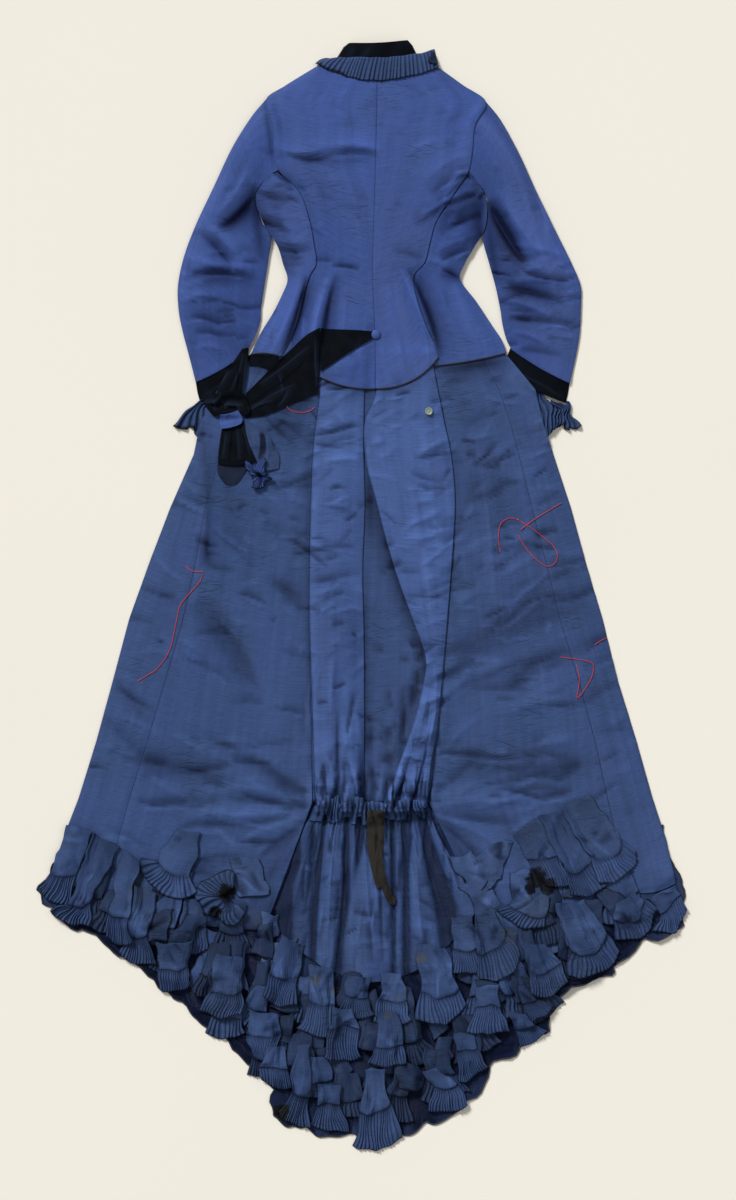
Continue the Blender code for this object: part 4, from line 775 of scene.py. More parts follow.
TRAIN_FLUTES = (
    (
        (-67.5, -8.4, -5.0, 0.9), (-60.0, -8.3, -4.2, 1.3), (-52.0, -7.7, -3.5, 1.3), (-44.0, -7.0, -3.2, 1.0),
        (-38.4, -6.4, -3.2, 0.4),
    ),
    (
        (-70.0, -3.9, 5.4, 0.5), (-62.0, -3.6, 5.3, 1.0), (-54.0, -2.3, 5.2, 1.2), (-46.0, -0.2, 5.1, 1.0),
        (-38.4, 0.9, 4.9, 0.4),
    ),
    ((-64.0, 8.5, 14.4, 0.6), (-56.0, 8.4, 13.2, 1.1), (-47.0, 8.2, 11.2, 1.1), (-38.4, 7.9, 9.9, 0.4)),
    ((-56.0, 16.9, 21.0, 0.6), (-50.0, 14.9, 18.7, 1.1), (-44.0, 12.6, 15.4, 1.0), (-38.4, 10.9, 12.4, 0.4)),
    ((-52.0, -12.6, -9.2, 0.4), (-45.0, -10.2, -7.6, 0.6), (-38.4, -8.2, -6.8, 0.3)),
    ((-50.0, -2.4, -0.9, 0.5), (-38.4, -2.6, -1.4, 0.3)),
    ((-52.0, 5.9, 7.4, 0.6), (-38.4, 5.4, 7.0, 0.3)),
    ((-58.0, -12.4, -9.4, 0.5), (-52.0, -11.2, -8.6, 0.4)),
)
# x, y and radius of patches in the silk: greyish wear, yellowish stains, the lining's corner, frayed holes
WORN_SPOTS = ((31.0, -56.0, 3.4), (-19.3, -58.2, 2.4), (26.0, -61.0, 2.0), (-40.0, -53.0, 2.2), (8.0, -72.0, 2.4))
STAINS = ((-8.4, -68.9, 1.1), (10.5, -64.9, 1.2), (4.6, -75.0, 0.9), (-5.0, -70.8, 0.9))
LINING_SPOTS = ((-14.7, -92.8, 1.9),)
HOLES = ((31.4, -50.6, 2.3), (33.4, -52.0, 1.9), (30.2, -52.4, 1.2), (-24.4, -53.1, 1.9), (-26.4, -56.6, 1.4))
# the patches with their colour and strength
MARKS = (
    (WORN_SPOTS, (0.06, 0.08, 0.11, 1), 0.3),
    (STAINS, (0.11, 0.1, 0.045, 1), 0.38),
    (LINING_SPOTS, (0.022, 0.02, 0.012, 1), 0.9),
    (HOLES, (0.002, 0.003, 0.006, 1), 0.97),
)
# length, width and turn of the strokes that crinkle the silk
CRINKLES = ((0.05, 0.0060, -0.30), (0.04, 0.0048, 0.22), (0.03, 0.0040, 0.02))
# scales of the noise across and down the cloth: streaks along the warp, slubs along the weft
WARP_STREAKS = (48.0, 2.2, 1.0)
WEFT_SLUBS = (22.0, 620.0, 1.0)
WORN_COLOUR = (0.06, 0.085, 0.14, 1)
SHADE_TINT = (0.07, 0.09, 0.135, 1)
# painted highlight on the crests of the velvet's creases
CREST_HIGHLIGHT = (0.014, 0.024, 0.05, 1)
FULL_TURN = 6.2832
# low x, low y, high x, high y, how many, length, angle in degrees, spread, width, height, seed
SKIRT_CRUMPLE = (
    (-50.0, -45.0, -10.0, 35.0, 90, 7.0, -22.0, 26.0, 0.42, 0.16, 11),
    (12.0, -45.0, 50.0, 35.0, 90, 7.0, 18.0, 26.0, 0.42, 0.16, 12),
    (-10.0, -30.0, 16.0, 42.0, 90, 4.5, 8.0, 30.0, 0.34, 0.16, 13),
    (-38.0, -52.0, 40.0, -26.0, 110, 8.0, 0.0, 16.0, 0.50, 0.24, 14),
    (-10.0, -37.0, 14.0, -14.0, 40, 8.0, 88.0, 14.0, 0.42, 0.24, 15),
    (-8.8, -36.8, 12.2, -33.4, 54, 6.0, 90.0, 9.0, 0.20, 0.26, 51),
    (-36.0, -10.0, 38.0, 34.0, 90, 3.0, 5.0, 60.0, 0.28, 0.10, 16),
    (10.0, 6.0, 34.0, 40.0, 40, 5.0, 16.0, 30.0, 0.36, 0.18, 17),
    (-12.0, -6.0, -2.0, 40.0, 30, 6.0, 12.0, 16.0, 0.30, 0.20, 18),
    (12.0, -20.0, 46.0, 12.0, 34, 9.0, 24.0, 10.0, 0.60, 0.22, 19),
)
# dark places under the bodice's tails and between the drapery folds: the same columns as BODICE_SHADOWS
SKIRT_SHADOWS = (
    (-8.2, 38.2, 2.6, 35.9, 1.5, 0.80, 0.9),
    (2.0, 35.9, 13.6, 41.4, 1.6, 0.85, 0.9),
    (13.0, 40.2, 26.8, 42.4, 1.6, 0.90, 0.2),
    (-21.0, 41.4, -14.0, 41.6, 1.3, 0.80, 0.0),
    (-16.5, 33.2, -7.4, 35.2, 1.4, 0.60, 0.0),
    (-19.0, 30.0, -9.0, 30.6, 3.0, 0.45, 0.0),
    (0.6, 30.0, 1.2, 8.0, 0.9, 0.70, 0.3),
    (1.4, 21.0, 11.4, -11.5, 1.5, 0.85, -0.5),
    (11.0, -9.0, 10.4, -16.0, 1.4, 0.70, 0.4),
    (10.8, -14.0, 3.8, -35.6, 1.2, 0.60, -0.4),
    (0.4, 8.0, 0.4, -36.0, 0.9, 0.60, 0.0),
    (-9.6, 30.0, -10.0, 4.0, 0.9, 0.35, 0.0),
    (-10.0, 8.0, -9.0, -36.0, 0.9, 0.40, 0.0),
    (17.0, 26.0, 16.0, -6.0, 0.8, 0.40, -0.6),
    (-29.2, 36.0, -28.0, 4.0, 1.0, 0.45, 0.6),
    (-28.6, 12.0, -27.6, 5.0, 1.2, 0.60, 0.0),
    (-30.0, 0.0, -18.5, -18.0, 1.5, 0.34, 1.4),
    (-27.0, 30.0, -22.0, 8.0, 4.0, 0.24, 0.0),
    (-18.0, 4.0, -10.5, -1.0, 1.0, 0.40, 0.4),
    (15.0, -12.0, 40.0, 2.0, 1.5, 0.36, 1.2),
    (16.0, -17.0, 33.0, -11.0, 1.0, 0.34, 0.8),
    (12.5, -34.0, 43.0, -29.0, 1.6, 0.34, 1.0),
    (26.0, -14.0, 44.0, -6.0, 1.1, 0.30, -0.6),
    (-42.0, -27.0, -20.0, -33.5, 1.4, 0.36, -0.8),
    (-52.0, -17.0, -36.0, -33.0, 1.2, 0.30, 0.8),
    (-47.0, -12.0, -38.0, -24.0, 1.0, 0.26, 0.5),
    (-30.0, -24.0, -11.0, -36.0, 1.2, 0.30, 0.8),
    (22.0, 30.0, 26.0, 6.0, 3.0, 0.22, 0.0),
)
TRAIN_SHADOWS = (
    (-56.0, -58.0, -2.0, -96.0, 8.0, 0.85, 3.0),
    (56.0, -58.0, 2.0, -96.0, 8.0, 0.85, -3.0),
    (-44.0, -60.0, -14.0, -70.0, 5.0, 0.85, 0.0),
    (46.0, -60.0, 16.0, -70.0, 5.0, 0.85, 0.0),
    (-14.0, -74.0, 16.0, -76.0, 8.0, 0.85, 0.0),
    (-34.0, -52.0, -18.0, -60.0, 3.0, 0.50, 0.0),
    (-50.0, -56.0, -30.0, -58.0, 3.0, 0.60, 0.0),
    (-8.9, -40.0, -20.6, -56.8, 1.2, 0.50, -0.6),
    (-16.0, -52.0, -17.0, -64.0, 1.6, 0.60, 0.0),
    (12.9, -40.0, 24.0, -56.0, 1.2, 0.50, 0.6),
    (29.0, -49.0, 34.0, -53.0, 1.6, 0.70, 0.0),
)
BODICE_CRUMPLE = (
    (-18.0, 58.0, 22.0, 94.0, 60, 3.6, 0.0, 40.0, 0.40, 0.04, 21),
    (-20.0, 58.0, -11.0, 76.0, 22, 3.0, -10.0, 25.0, 0.35, 0.14, 23),
    (12.0, 58.0, 22.0, 78.0, 26, 3.4, 24.0, 20.0, 0.35, 0.15, 24),
    (-20.0, 38.0, 26.0, 58.0, 26, 4.0, -80.0, 30.0, 0.45, 0.08, 22),
)
SLEEVE_CRUMPLE = (
    (-34.0, 38.0, -16.0, 88.0, 40, 3.4, 8.0, 35.0, 0.40, 0.07, 31),
    (18.0, 38.0, 40.0, 88.0, 40, 3.4, -8.0, 35.0, 0.40, 0.07, 32),
    (-34.0, 46.0, -20.0, 62.0, 22, 4.0, -6.0, 20.0, 0.30, 0.14, 33),
    (24.0, 44.0, 40.0, 62.0, 28, 4.0, 6.0, 20.0, 0.30, 0.16, 34),
)
FLUTE_CRUMPLE = (
    (-8.8, -39.6, 12.2, -36.6, 46, 2.6, 90.0, 28.0, 0.22, 0.30, 55),
    (-9.6, -46.0, 12.8, -39.0, 54, 6.5, 90.0, 10.0, 0.20, 0.26, 52),
    (-14.0, -66.0, 18.0, -44.0, 60, 3.4, 4.0, 30.0, 0.26, 0.14, 53),
    (-14.0, -68.0, 18.0, -44.0, 40, 9.0, 88.0, 9.0, 0.36, 0.22, 54),
)
TRAIN_CRUMPLE = (
    (-56.0, -96.0, 56.0, -44.0, 260, 6.0, 70.0, 60.0, 1.00, 0.50, 41),
    (-56.0, -96.0, 56.0, -44.0, 260, 4.0, 0.0, 90.0, 0.55, 0.30, 42),
)
TAB_CRUMPLE = (
    (-58.0, -99.0, 58.0, -38.0, 620, 4.4, 60.0, 90.0, 0.30, 0.22, 43),
    (-58.0, -99.0, 58.0, -38.0, 160, 6.0, 60.0, 90.0, 0.60, 0.45, 44),
)


def spline(rows, place):
    """Catmull-Rom curve through the rows at place, counted in rows."""
    rows = np.asarray(rows, float)
    padded = np.vstack([2 * rows[0] - rows[1], rows, 2 * rows[-1] - rows[-2]])
    start = np.clip(np.floor(place).astype(int), 0, len(rows) - 2)
    t = (place - start)[:, None]
    before, first, second, after = (padded[start + i] for i in range(4))
    return 0.5 * (
        2 * first
        + (second - before) * t
        + (2 * before - 5 * first + 4 * second - after) * t**2
        + (3 * first - before - 3 * second + after) * t**3
    )


def straight(rows, place):
    """Straight stretches between the rows at place, counted in rows."""
    rows = np.asarray(rows, float)
    start = np.clip(np.floor(place).astype(int), 0, len(rows) - 2)
    t = (place - start)[:, None]
    return rows[start] * (1 - t) + rows[start + 1] * t


def plan_of(rows, across, down, curve):
    """Plan points in metres of a sheet's grid, half a seam inside the piece's edges."""
    sections = curve(rows, down * (len(rows) - 1))
    left, right, bow = sections[:, 0:2], sections[:, 2:4], sections[:, 4:5]
    span = right - left
    width = np.linalg.norm(span, axis=1, keepdims=True)
    hemward = np.stack([span[:, 1], -span[:, 0]], axis=1) / width
    edge = 0.5 * SEAM / CM / width
    u = (edge + across[None] * (1 - 2 * edge))[..., None]
    return (left[:, None] + span[:, None] * u + (hemward * bow)[:, None] * 4 * u * (1 - u)) * CM


def reach_of(rows):
    """Rough width and length in metres of a piece with these rows."""
    rows = np.asarray(rows, float) * CM
    width = np.hypot(rows[:, 2] - rows[:, 0], rows[:, 3] - rows[:, 1]).max()
    middle = (rows[:, 0:2] + rows[:, 2:4]) / 2
    return width, np.linalg.norm(np.diff(middle, axis=0), axis=1).sum()


def inset(rows, amount):
    """The rows drawn in at both ends by amount."""
    narrower = []
    for left_x, left_y, right_x, right_y, bow in rows:
        width = np.hypot(right_x - left_x, right_y - left_y)
        step_x = amount * (right_x - left_x) / width
        step_y = amount * (right_y - left_y) / width
        narrower.append((left_x + step_x, left_y + step_y, right_x - step_x, right_y - step_y, max(bow, 0.2)))
    return tuple(narrower)


class Pile:
    """Height of what already lies at each place of the surface."""

    def __init__(self):
        self.top = np.zeros((int(2 * HALF_WIDTH / CELL), int(2 * HALF_LENGTH / CELL)), np.float32)

    def cells(self, plan, last=2):
        column = ((plan[..., 0] + HALF_WIDTH) / CELL).astype(int).clip(last, self.top.shape[0] - 1 - last)
        row = ((plan[..., 1] + HALF_LENGTH) / CELL).astype(int).clip(last, self.top.shape[1] - 1 - last)
        return column, row

    def under(self, plan, reach=1):
        """Lowest height that clears what lies within reach cells of each place."""
        column, row = self.cells(plan)
        height = np.zeros(plan.shape[:-1])
        for i in range(-reach, reach + 1):
            for j in range(-reach, reach + 1):
                height = np.maximum(height, self.top[column + i, row + j])
        return np.where(height > 0, height + SEAM, 0.0)

    def settle(self, points):
        """Adds the upper side of a finished sheet, given as a grid of points."""
        step = max(np.linalg.norm(np.diff(points[..., :2], axis=axis), axis=-1).max() for axis in (0, 1))
        times = int(np.ceil(step / (0.7 * CELL)))
        for axis in (0, 1):
            place = np.linspace(0, points.shape[axis] - 1, (points.shape[axis] - 1) * times + 1)
            start = np.minimum(place.astype(int), points.shape[axis] - 2)
            share = np.expand_dims(place - start, [i for i in range(3) if i != axis])
            first, second = np.take(points, start, axis), np.take(points, start + 1, axis)
            points = first * (1 - share) + second * share
        column, row = self.cells(points)
        np.maximum.at(self.top, (column.ravel(), row.ravel()), points[..., 2].ravel())


def relaxed(need, least, rounds):
    """Heights of a limp sheet over need, rounded off between what carries it."""
    height = np.maximum(need, least)
    for _ in range(rounds):
        spread = np.pad(height, 1, mode="edge")
        spread = (spread[:-2] + 2 * spread[1:-1] + spread[2:]) / 4
        spread = (spread[:, :-2] + 2 * spread[:, 1:-1] + spread[:, 2:]) / 4
        height = np.maximum(spread, need)
    return height


def mound_height(table, plan, shoulder=3.0):
    """Height of a rounded mound of cloth over the surface, squarer with a larger shoulder."""
    table = np.asarray(table, float) * CM
    left, right, height = (np.interp(plan[..., 1], table[:, 0], table[:, i]) for i in (1, 2, 3))
    side = np.abs((2 * plan[..., 0] - left - right) / (right - left)).clip(0, 1)
    return height * np.sqrt(1 - side**shoulder)


def crease_fields(table, plan, sharp=0.45, soft=1.4):
    """Ridges and troughs, sharp along the right side and soft along the left: their rise, and how steep they are."""
    total, steep = np.zeros(plan.shape[:-1]), np.zeros(plan.shape[:-1])
    x, y = plan[..., 0] / CM, plan[..., 1] / CM
    for x0, y0, x1, y1, width, height, bow in table:
        run = np.hypot(x1 - x0, y1 - y0)
        ahead_x, ahead_y = (x1 - x0) / run, (y1 - y0) / run
        along = ((x - x0) * ahead_x + (y - y0) * ahead_y) / run
        away = ((y - y0) * ahead_x - (x - x0) * ahead_y - bow * 4 * along * (1 - along)) / width
        near = (along > 0) & (along < 1) & (away > -3 * sharp) & (away < 3 * soft)
        t, d = along[near], away[near]
        profile = np.exp(-(np.where(d < 0, -d / sharp, d / soft) ** CREASE_SIDE))
        profile *= np.sin(np.pi * t) ** CREASE_END
        total[near] += height * CM * profile
        steep[near] += height / width * profile
    return total, steep


def crumple_creases(fields):
    """Small creases strewn over each field, the same ones every time."""
    creases = []
    for low_x, low_y, high_x, high_y, count, length, angle, spread, width, height, seed in fields:
        pick = np.random.RandomState(seed)
        for _ in range(count):
            x, y = pick.uniform(low_x, high_x), pick.uniform(low_y, high_y)
            turn = np.radians(angle + spread * pick.uniform(-1, 1))
            half = 0.5 * length * pick.uniform(0.4, 1.5)
            step_x, step_y = half * np.cos(turn), half * np.sin(turn)
            creases.append((
                x - step_x, y - step_y, x + step_x, y + step_y,
                width * pick.uniform(0.6, 1.5), height * pick.choice([-1, 1]) * pick.uniform(0.4, 1.4),
                0.15 * half * pick.uniform(-1, 1),
            ))
    return tuple(creases)


def rumpled(plan, amount, seed):
    """The plan with its edges drawn out of true by about an amount in centimetres."""
    pick = np.random.RandomState(seed)
    drawn = plan.copy()
    for axis in (0, 1):
        for wave in (7.0, 3.2):
            turn, start = pick.uniform(0, 2 * np.pi, 2)
            along = (plan[..., 0] * np.cos(turn) + plan[..., 1] * np.sin(turn)) / CM
            drawn[..., axis] += amount * CM * (wave / 7.0) * np.sin(2 * np.pi * along / wave + start)
    return drawn


def room_above(need):
    """1 on low ground, down to a little where many layers lie below, so that the pile stays flat."""
    return (ROOM_AT_SURFACE - need / ROOM_PILE).clip(ROOM_LEAST, 1.0)


def edge_sink(plan, depths, width):
    """Depth by which the sheet dips towards its left, right, top and bottom edges, as at a seam."""
    total = np.zeros(plan.shape[:-1])
    for depth, edge in zip(depths, (plan[:, :1], plan[:, -1:], plan[:1], plan[-1:]), strict=True):
        if depth:
            away = np.linalg.norm(plan - edge, axis=-1)
            total += depth * CM * np.exp(-((away / (width * CM)) ** 2))
    return total


def shell_mesh(name, low, high, masks):
    """A closed thin shell between two grids of points, with its own map and masks."""
    rows, columns = low.shape[:2]
    index = np.arange(rows * columns).reshape(rows, columns)
    upper = np.stack([index[:-1, :-1], index[1:, :-1], index[1:, 1:], index[:-1, 1:]], axis=-1).reshape(-1, 4)
    lower = upper[:, ::-1] + rows * columns
    rim = np.concatenate([index[:-1, 0], index[-1, :-1], index[:0:-1, -1], index[0, :0:-1]])
    following = np.roll(rim, -1)
    side = np.stack([rim, rim + rows * columns, following + rows * columns, following], axis=-1)
    mesh = bpy.data.meshes.new(name)
    points = np.concatenate([high.reshape(-1, 3), low.reshape(-1, 3)])
    mesh.from_pydata(points.tolist(), [], np.concatenate([upper, lower, side]).tolist())
    smooth = np.ones(len(mesh.polygons), bool)
    smooth[-len(side):] = False
    mesh.polygons.foreach_set("use_smooth", smooth)
    across = np.linalg.norm(np.diff(high, axis=1, prepend=high[:, :1]), axis=-1).cumsum(axis=1)
    down = np.linalg.norm(np.diff(high, axis=0, prepend=high[:1]), axis=-1).cumsum(axis=0)
    middle = across[:, columns // 2][:, None]
    place = np.stack([across - middle, -down], axis=-1).reshape(-1, 2)
    corner = np.empty(len(mesh.loops), int)
    mesh.loops.foreach_get("vertex_index", corner)
    mesh.uv_layers.new(name="cloth").data.foreach_set("uv", np.tile(place, (2, 1))[corner].ravel())
    for mask, values in masks.items():
        layer = mesh.attributes.new(mask, "FLOAT", "POINT")
        layer.data.foreach_set("value", np.tile(np.broadcast_to(values, (rows, columns)).ravel(), 2))
    return mesh


class NodeTree:
    """A node tree that is built one node at a time."""

    def __init__(self, name, kind, inputs, outputs):
        self.tree = bpy.data.node_groups.new(name, kind)
        for way, sockets in (("INPUT", inputs), ("OUTPUT", outputs)):
            for label, socket_type, *value in sockets:
                socket = self.tree.interface.new_socket(name=label, in_out=way, socket_type=socket_type)
                if value:
                    socket.default_value = value[0]
        self.given = self.tree.nodes.new("NodeGroupInput").outputs
        self.made = self.tree.nodes.new("NodeGroupOutput").inputs

    def node(self, kind, values=(), **settings):
        return add_node(self.tree, kind, values, **settings)

    def math(self, operation, *values):
        return self.node("ShaderNodeMath", enumerate(values), operation=operation).outputs[0]

    def ramp(self, value, low, high, first, last):
        """Takes low to high over to first to last, and holds the ends."""
        values = ((0, value), (1, low), (2, high), (3, first), (4, last))
        return self.node("ShaderNodeMapRange", values).outputs[0]

    def noise(self, vector, scale, detail, **more):
        values = (("Vector", vector), ("Scale", scale), ("Detail", detail), *more.items())
        return self.node("ShaderNodeTexNoise", values).outputs[0]

    def scaled(self, vector, scale):
        return self.node("ShaderNodeMapping", (("Vector", vector), ("Scale", scale))).outputs[0]

    def link(self, source, target):
        self.tree.links.new(source, target)


def add_node(tree, kind, values=(), **settings):
    """A new node. Values are pairs of an input's name or place and what it gets or is linked to."""
    node = tree.nodes.new(kind)
    for key, value in settings.items():
        setattr(node, key, value)
    for key, value in values:
        if isinstance(value, bpy.types.NodeSocket):
            tree.links.new(value, node.inputs[key])
        else:
            node.inputs[key].default_value = value
    return node


def mix_colours(tree, factor, first, second, blend="MIX"):
    node = add_node(
        tree, "ShaderNodeMix", ((0, factor), (6, first), (7, second)), data_type="RGBA", blend_type=blend
    )
    return node.outputs[2]


def mask(tree, name):
    return add_node(tree, "ShaderNodeAttribute", attribute_name=name).outputs["Fac"]


def crinkles(made, place):
    """Fine creases of stiff silk: short strokes, most of them across the cloth."""
    strokes = []
    for length, width, turn in CRINKLES:
        drawn = made.node(
            "ShaderNodeMapping", (("Vector", place), ("Rotation", (0, 0, turn)), ("Scale", (length, width, 0.05))),
            vector_type="TEXTURE",
        )
        strokes.append(made.ramp(made.noise(drawn.outputs[0], 1.0, 1.0, Distortion=0.5), 0.63, 0.76, 0.0, 1.0))
    both = made.math("MAXIMUM", strokes[0], strokes[1])
    where = made.ramp(made.noise(place, 9.0, 2.0), 0.5, 0.66, 0.06, 0.9)
    return made.math("MULTIPLY", made.math("MAXIMUM", both, strokes[2]), where)


def spots(made, place, table):
    """1 in each round patch of a table of x, y and radius in centimetres, with ragged edges."""
    flat = made.scaled(place, (1.0, 1.0, 0.0))
    rough = made.math("MULTIPLY", made.noise(place, 110.0, 3.0), 1.1)
    total = None
    for x, y, radius in table:
        away = made.node("ShaderNodeVectorMath", ((0, flat), (1, (x * CM, y * CM, 0.0))), operation="DISTANCE")
        near = made.math("ADD", made.math("DIVIDE", away.outputs["Value"], radius * CM), rough)
        spot = made.ramp(near, 1.2, 1.5, 1.0, 0.0)
        total = spot if total is None else made.math("MAXIMUM", total, spot)
    return total


def silk_surface_group():
    """Ribbed silk: colour that shifts and fades, marks, painted shade and highlight on folds, crinkles with painted
    shade, darker edging, slubs and ribs.
    """
    made = NodeTree(
        "silk surface",
        "ShaderNodeTree",
        (
            ("Colour", "NodeSocketColor", (0.07, 0.1, 0.3, 1)),
            ("Faded colour", "NodeSocketColor", (0.1, 0.15, 0.3, 1)),
            ("Edging colour", "NodeSocketColor", (0.01, 0.01, 0.02, 1)),
            ("Rib pitch", "NodeSocketFloat", 0.0011),
        ),
        (("Colour", "NodeSocketColor"), ("Roughness", "NodeSocketFloat"), ("Height", "NodeSocketFloat")),
    )
    tree, given = made.tree, made.given
    place = made.node("ShaderNodeTexCoord").outputs["Object"]
    cloth = made.node("ShaderNodeUVMap", uv_map="cloth").outputs["UV"]
    shift = made.noise(place, 9.0, 4.0, Roughness=0.6)
    fading = made.ramp(shift, 0.38, 0.66, 0.0, 1.0)
    worn = made.math("MULTIPLY", mask(tree, "wear"), fading)
    colour = mix_colours(tree, made.math("MULTIPLY", fading, 0.55), given["Colour"], given["Faded colour"])
    colour = mix_colours(tree, made.math("MULTIPLY", worn, 0.3), colour, WORN_COLOUR)
    streak = made.noise(made.scaled(cloth, WARP_STREAKS), 1.0, 2.0)
    slub = made.noise(made.scaled(cloth, WEFT_SLUBS), 1.0, 3.0)
    for brightness in (made.ramp(streak, 0.3, 0.7, 0.9, 1.1), made.ramp(slub, 0.3, 0.7, 0.86, 1.12)):
        colour = mix_colours(tree, 1.0, colour, brightness, "MULTIPLY")
    for table, stain, strength in MARKS:
        colour = mix_colours(tree, made.math("MULTIPLY", spots(made, place, table), strength), colour, stain)
    dark = mix_colours(tree, 1.0, colour, SHADE_TINT, "MULTIPLY")
    colour = mix_colours(tree, mask(tree, "shade"), colour, dark)
    crinkle = crinkles(made, place)
    # painted highlight on the fold ridges, and painted shade along the crinkle strokes
    for brightness in (
        made.ramp(mask(tree, "light"), 0.0, 1.0, 1.0, 1.55),
        made.ramp(crinkle, 0.0, 1.0, 1.0, 0.78),
    ):
        colour = mix_colours(tree, 1.0, colour, brightness, "MULTIPLY")
    made.link(mix_colours(tree, mask(tree, "edging"), colour, given["Edging colour"]), made.made["Colour"])
    made.link(made.ramp(shift, 0.3, 0.7, 0.4, 0.55), made.made["Roughness"])
    upright = made.node("ShaderNodeSeparateXYZ", ((0, cloth),)).outputs["Y"]
    rib = made.math("SINE", made.math("MULTIPLY", made.math("DIVIDE", upright, given["Rib pitch"]), FULL_TURN))
    height = made.math("ADD", made.math("MULTIPLY", rib, 0.5), made.math("MULTIPLY", slub, 2.2))
    height = made.math("ADD", height, made.math("MULTIPLY", made.noise(place, 85.0, 3.0), 5.0))
    height = made.math("SUBTRACT", height, made.math("MULTIPLY", crinkle, 4.0))
    made.link(height, made.made["Height"])
    return tree


def velvet_surface_group():
    """Velvet: pile that is brushed in patches, with a painted highlight on its crease crests."""
    made = NodeTree(
        "velvet surface",
        "ShaderNodeTree",
        (
            ("Colour", "NodeSocketColor", (0.004, 0.006, 0.014, 1)),
            ("Brushed colour", "NodeSocketColor", (0.02, 0.03, 0.05, 1)),
        ),
        (("Colour", "NodeSocketColor"), ("Height", "NodeSocketFloat")),
    )
    place = made.node("ShaderNodeTexCoord").outputs["Object"]
    brushed = made.ramp(made.noise(place, 45.0, 4.0), 0.42, 0.7, 0.0, 1.0)
    colour = mix_colours(made.tree, brushed, made.given["Colour"], made.given["Brushed colour"])
    # painted highlight along the crests of the creases
    crest = made.math("MULTIPLY", mask(made.tree, "light"), 0.6)
    made.link(mix_colours(made.tree, crest, colour, CREST_HIGHLIGHT), made.made["Colour"])
    made.link(made.noise(place, 1400.0, 2.0), made.made["Height"])
    return made.tree


def material_with(name, group, colours, bump, **constants):
    """A Principled material whose colour, roughness and bump come from a group."""
    material = bpy.data.materials.new(name)
    material.use_nodes = True
    tree = material.node_tree
    shader = tree.nodes["Principled BSDF"]
    surface = add_node(tree, "ShaderNodeGroup", node_tree=group)
    for label, value in colours.items():
        surface.inputs[label].default_value = value
    for label in ("Colour", "Roughness"):
        if label in surface.outputs:
            tree.links.new(surface.outputs[label], shader.inputs["Base Color" if label == "Colour" else label])
    height = add_node(tree, "ShaderNodeBump", (("Height", surface.outputs["Height"]), ("Distance", bump)))
    tree.links.new(height.outputs[0], shader.inputs["Normal"])
    for label, value in constants.items():
        shader.inputs[label.replace("_", " ").title().replace("Ior", "IOR")].default_value = value
    return material


def fine_surface_group():
    """Small pieces: mottled colour and a fine grain."""
    made = NodeTree(
        "fine surface",
        "ShaderNodeTree",
        (
            ("Colour", "NodeSocketColor", (0.1, 0.1, 0.1, 1)),
            ("Second colour", "NodeSocketColor", (0.2, 0.2, 0.2, 1)),
            ("Scale", "NodeSocketFloat", 120.0),
        ),
        (("Colour", "NodeSocketColor"), ("Height", "NodeSocketFloat")),
    )
    place = made.node("ShaderNodeTexCoord").outputs["Object"]
    mottle = made.noise(place, made.given["Scale"], 5.0, Roughness=0.7)
    made.link(mix_colours(made.tree, mottle, made.given["Colour"], made.given["Second colour"]), made.made["Colour"])
    made.link(mottle, made.made["Height"])
    return made.tree


def shades(colour, factor):
    return (*(min(1.0, part * factor) for part in colour), 1.0)


def make_materials(colours):
    """Every material of the dress, by name."""
    silk, velvet, fine = silk_surface_group(), velvet_surface_group(), fine_surface_group()
    made = {}
    edging = (*colours.edging, 1)
    for name, colour, faded in (
        ("blue silk", colours.bodice_silk, (0.05, 0.09, 0.25)),
        ("skirt silk", colours.skirt_silk, (0.034, 0.07, 0.17)),
        # a lighter copy of the skirt silk for the raised drapery folds: painted light
        ("lit drapery silk", shades(colours.skirt_silk, 1.5)[:3], (0.05, 0.093, 0.25)),
        # the frill silk at half brightness: painted shade for the flounce's lower tabs and flaps, and a darker silk for
        # the sash's end and the frill's turned corner
        ("shaded and dark frill silk", shades(colours.frill_silk, 0.5)[:3], (0.02, 0.04, 0.09)),
        ("frill silk", colours.frill_silk, (0.028, 0.054, 0.125)),
        ("lining", (0.2, 0.19, 0.12), (0.26, 0.25, 0.17)),
    ):
        made[name] = material_with(
            name, silk, {"Colour": (*colour, 1), "Faded colour": (*faded, 1), "Edging colour": edging},
            bump=0.00022, specular_ior_level=0.1,
        )
    made["velvet"] = material_with(
        "velvet", velvet, {"Colour": (*colours.velvet, 1), "Brushed colour": shades(colours.velvet, 2.2)},
        bump=0.0004, roughness=0.8, specular_ior_level=0.06,
    )
    for name, colour, factor, scale, rough in (
        ("binding", colours.edging, 2.2, 300.0, 0.7),
        ("red thread", colours.thread, 0.6, 200.0, 0.7),
        ("silk thread", (0.02, 0.025, 0.05), 1.8, 200.0, 0.6),
        ("tape", (0.004, 0.0036, 0.0024), 3.2, 110.0, 0.9),
        ("horn", (0.16, 0.2, 0.17), 1.7, 260.0, 0.4),
    ):
        made[name] = material_with(
            name, fine, {"Colour": (*colour, 1), "Second colour": shades(colour, factor), "Scale": scale},
            bump=0.0002, roughness=rough,
        )
    return made


def geometry_tree(name, inputs):
    return NodeTree(
        name,
        "GeometryNodeTree",
        (("Geometry", "NodeSocketGeometry"), *inputs, ("Material", "NodeSocketMaterial")),
        (("Geometry", "NodeSocketGeometry"),),
    )


def end_tree(made, geometry):
    real = made.node("GeometryNodeRealizeInstances", ((0, geometry),))
    finish = made.node("GeometryNodeSetMaterial", ((0, real.outputs[0]), (2, made.given["Material"])))
    made.link(finish.outputs[0], made.made["Geometry"])
    return made.tree


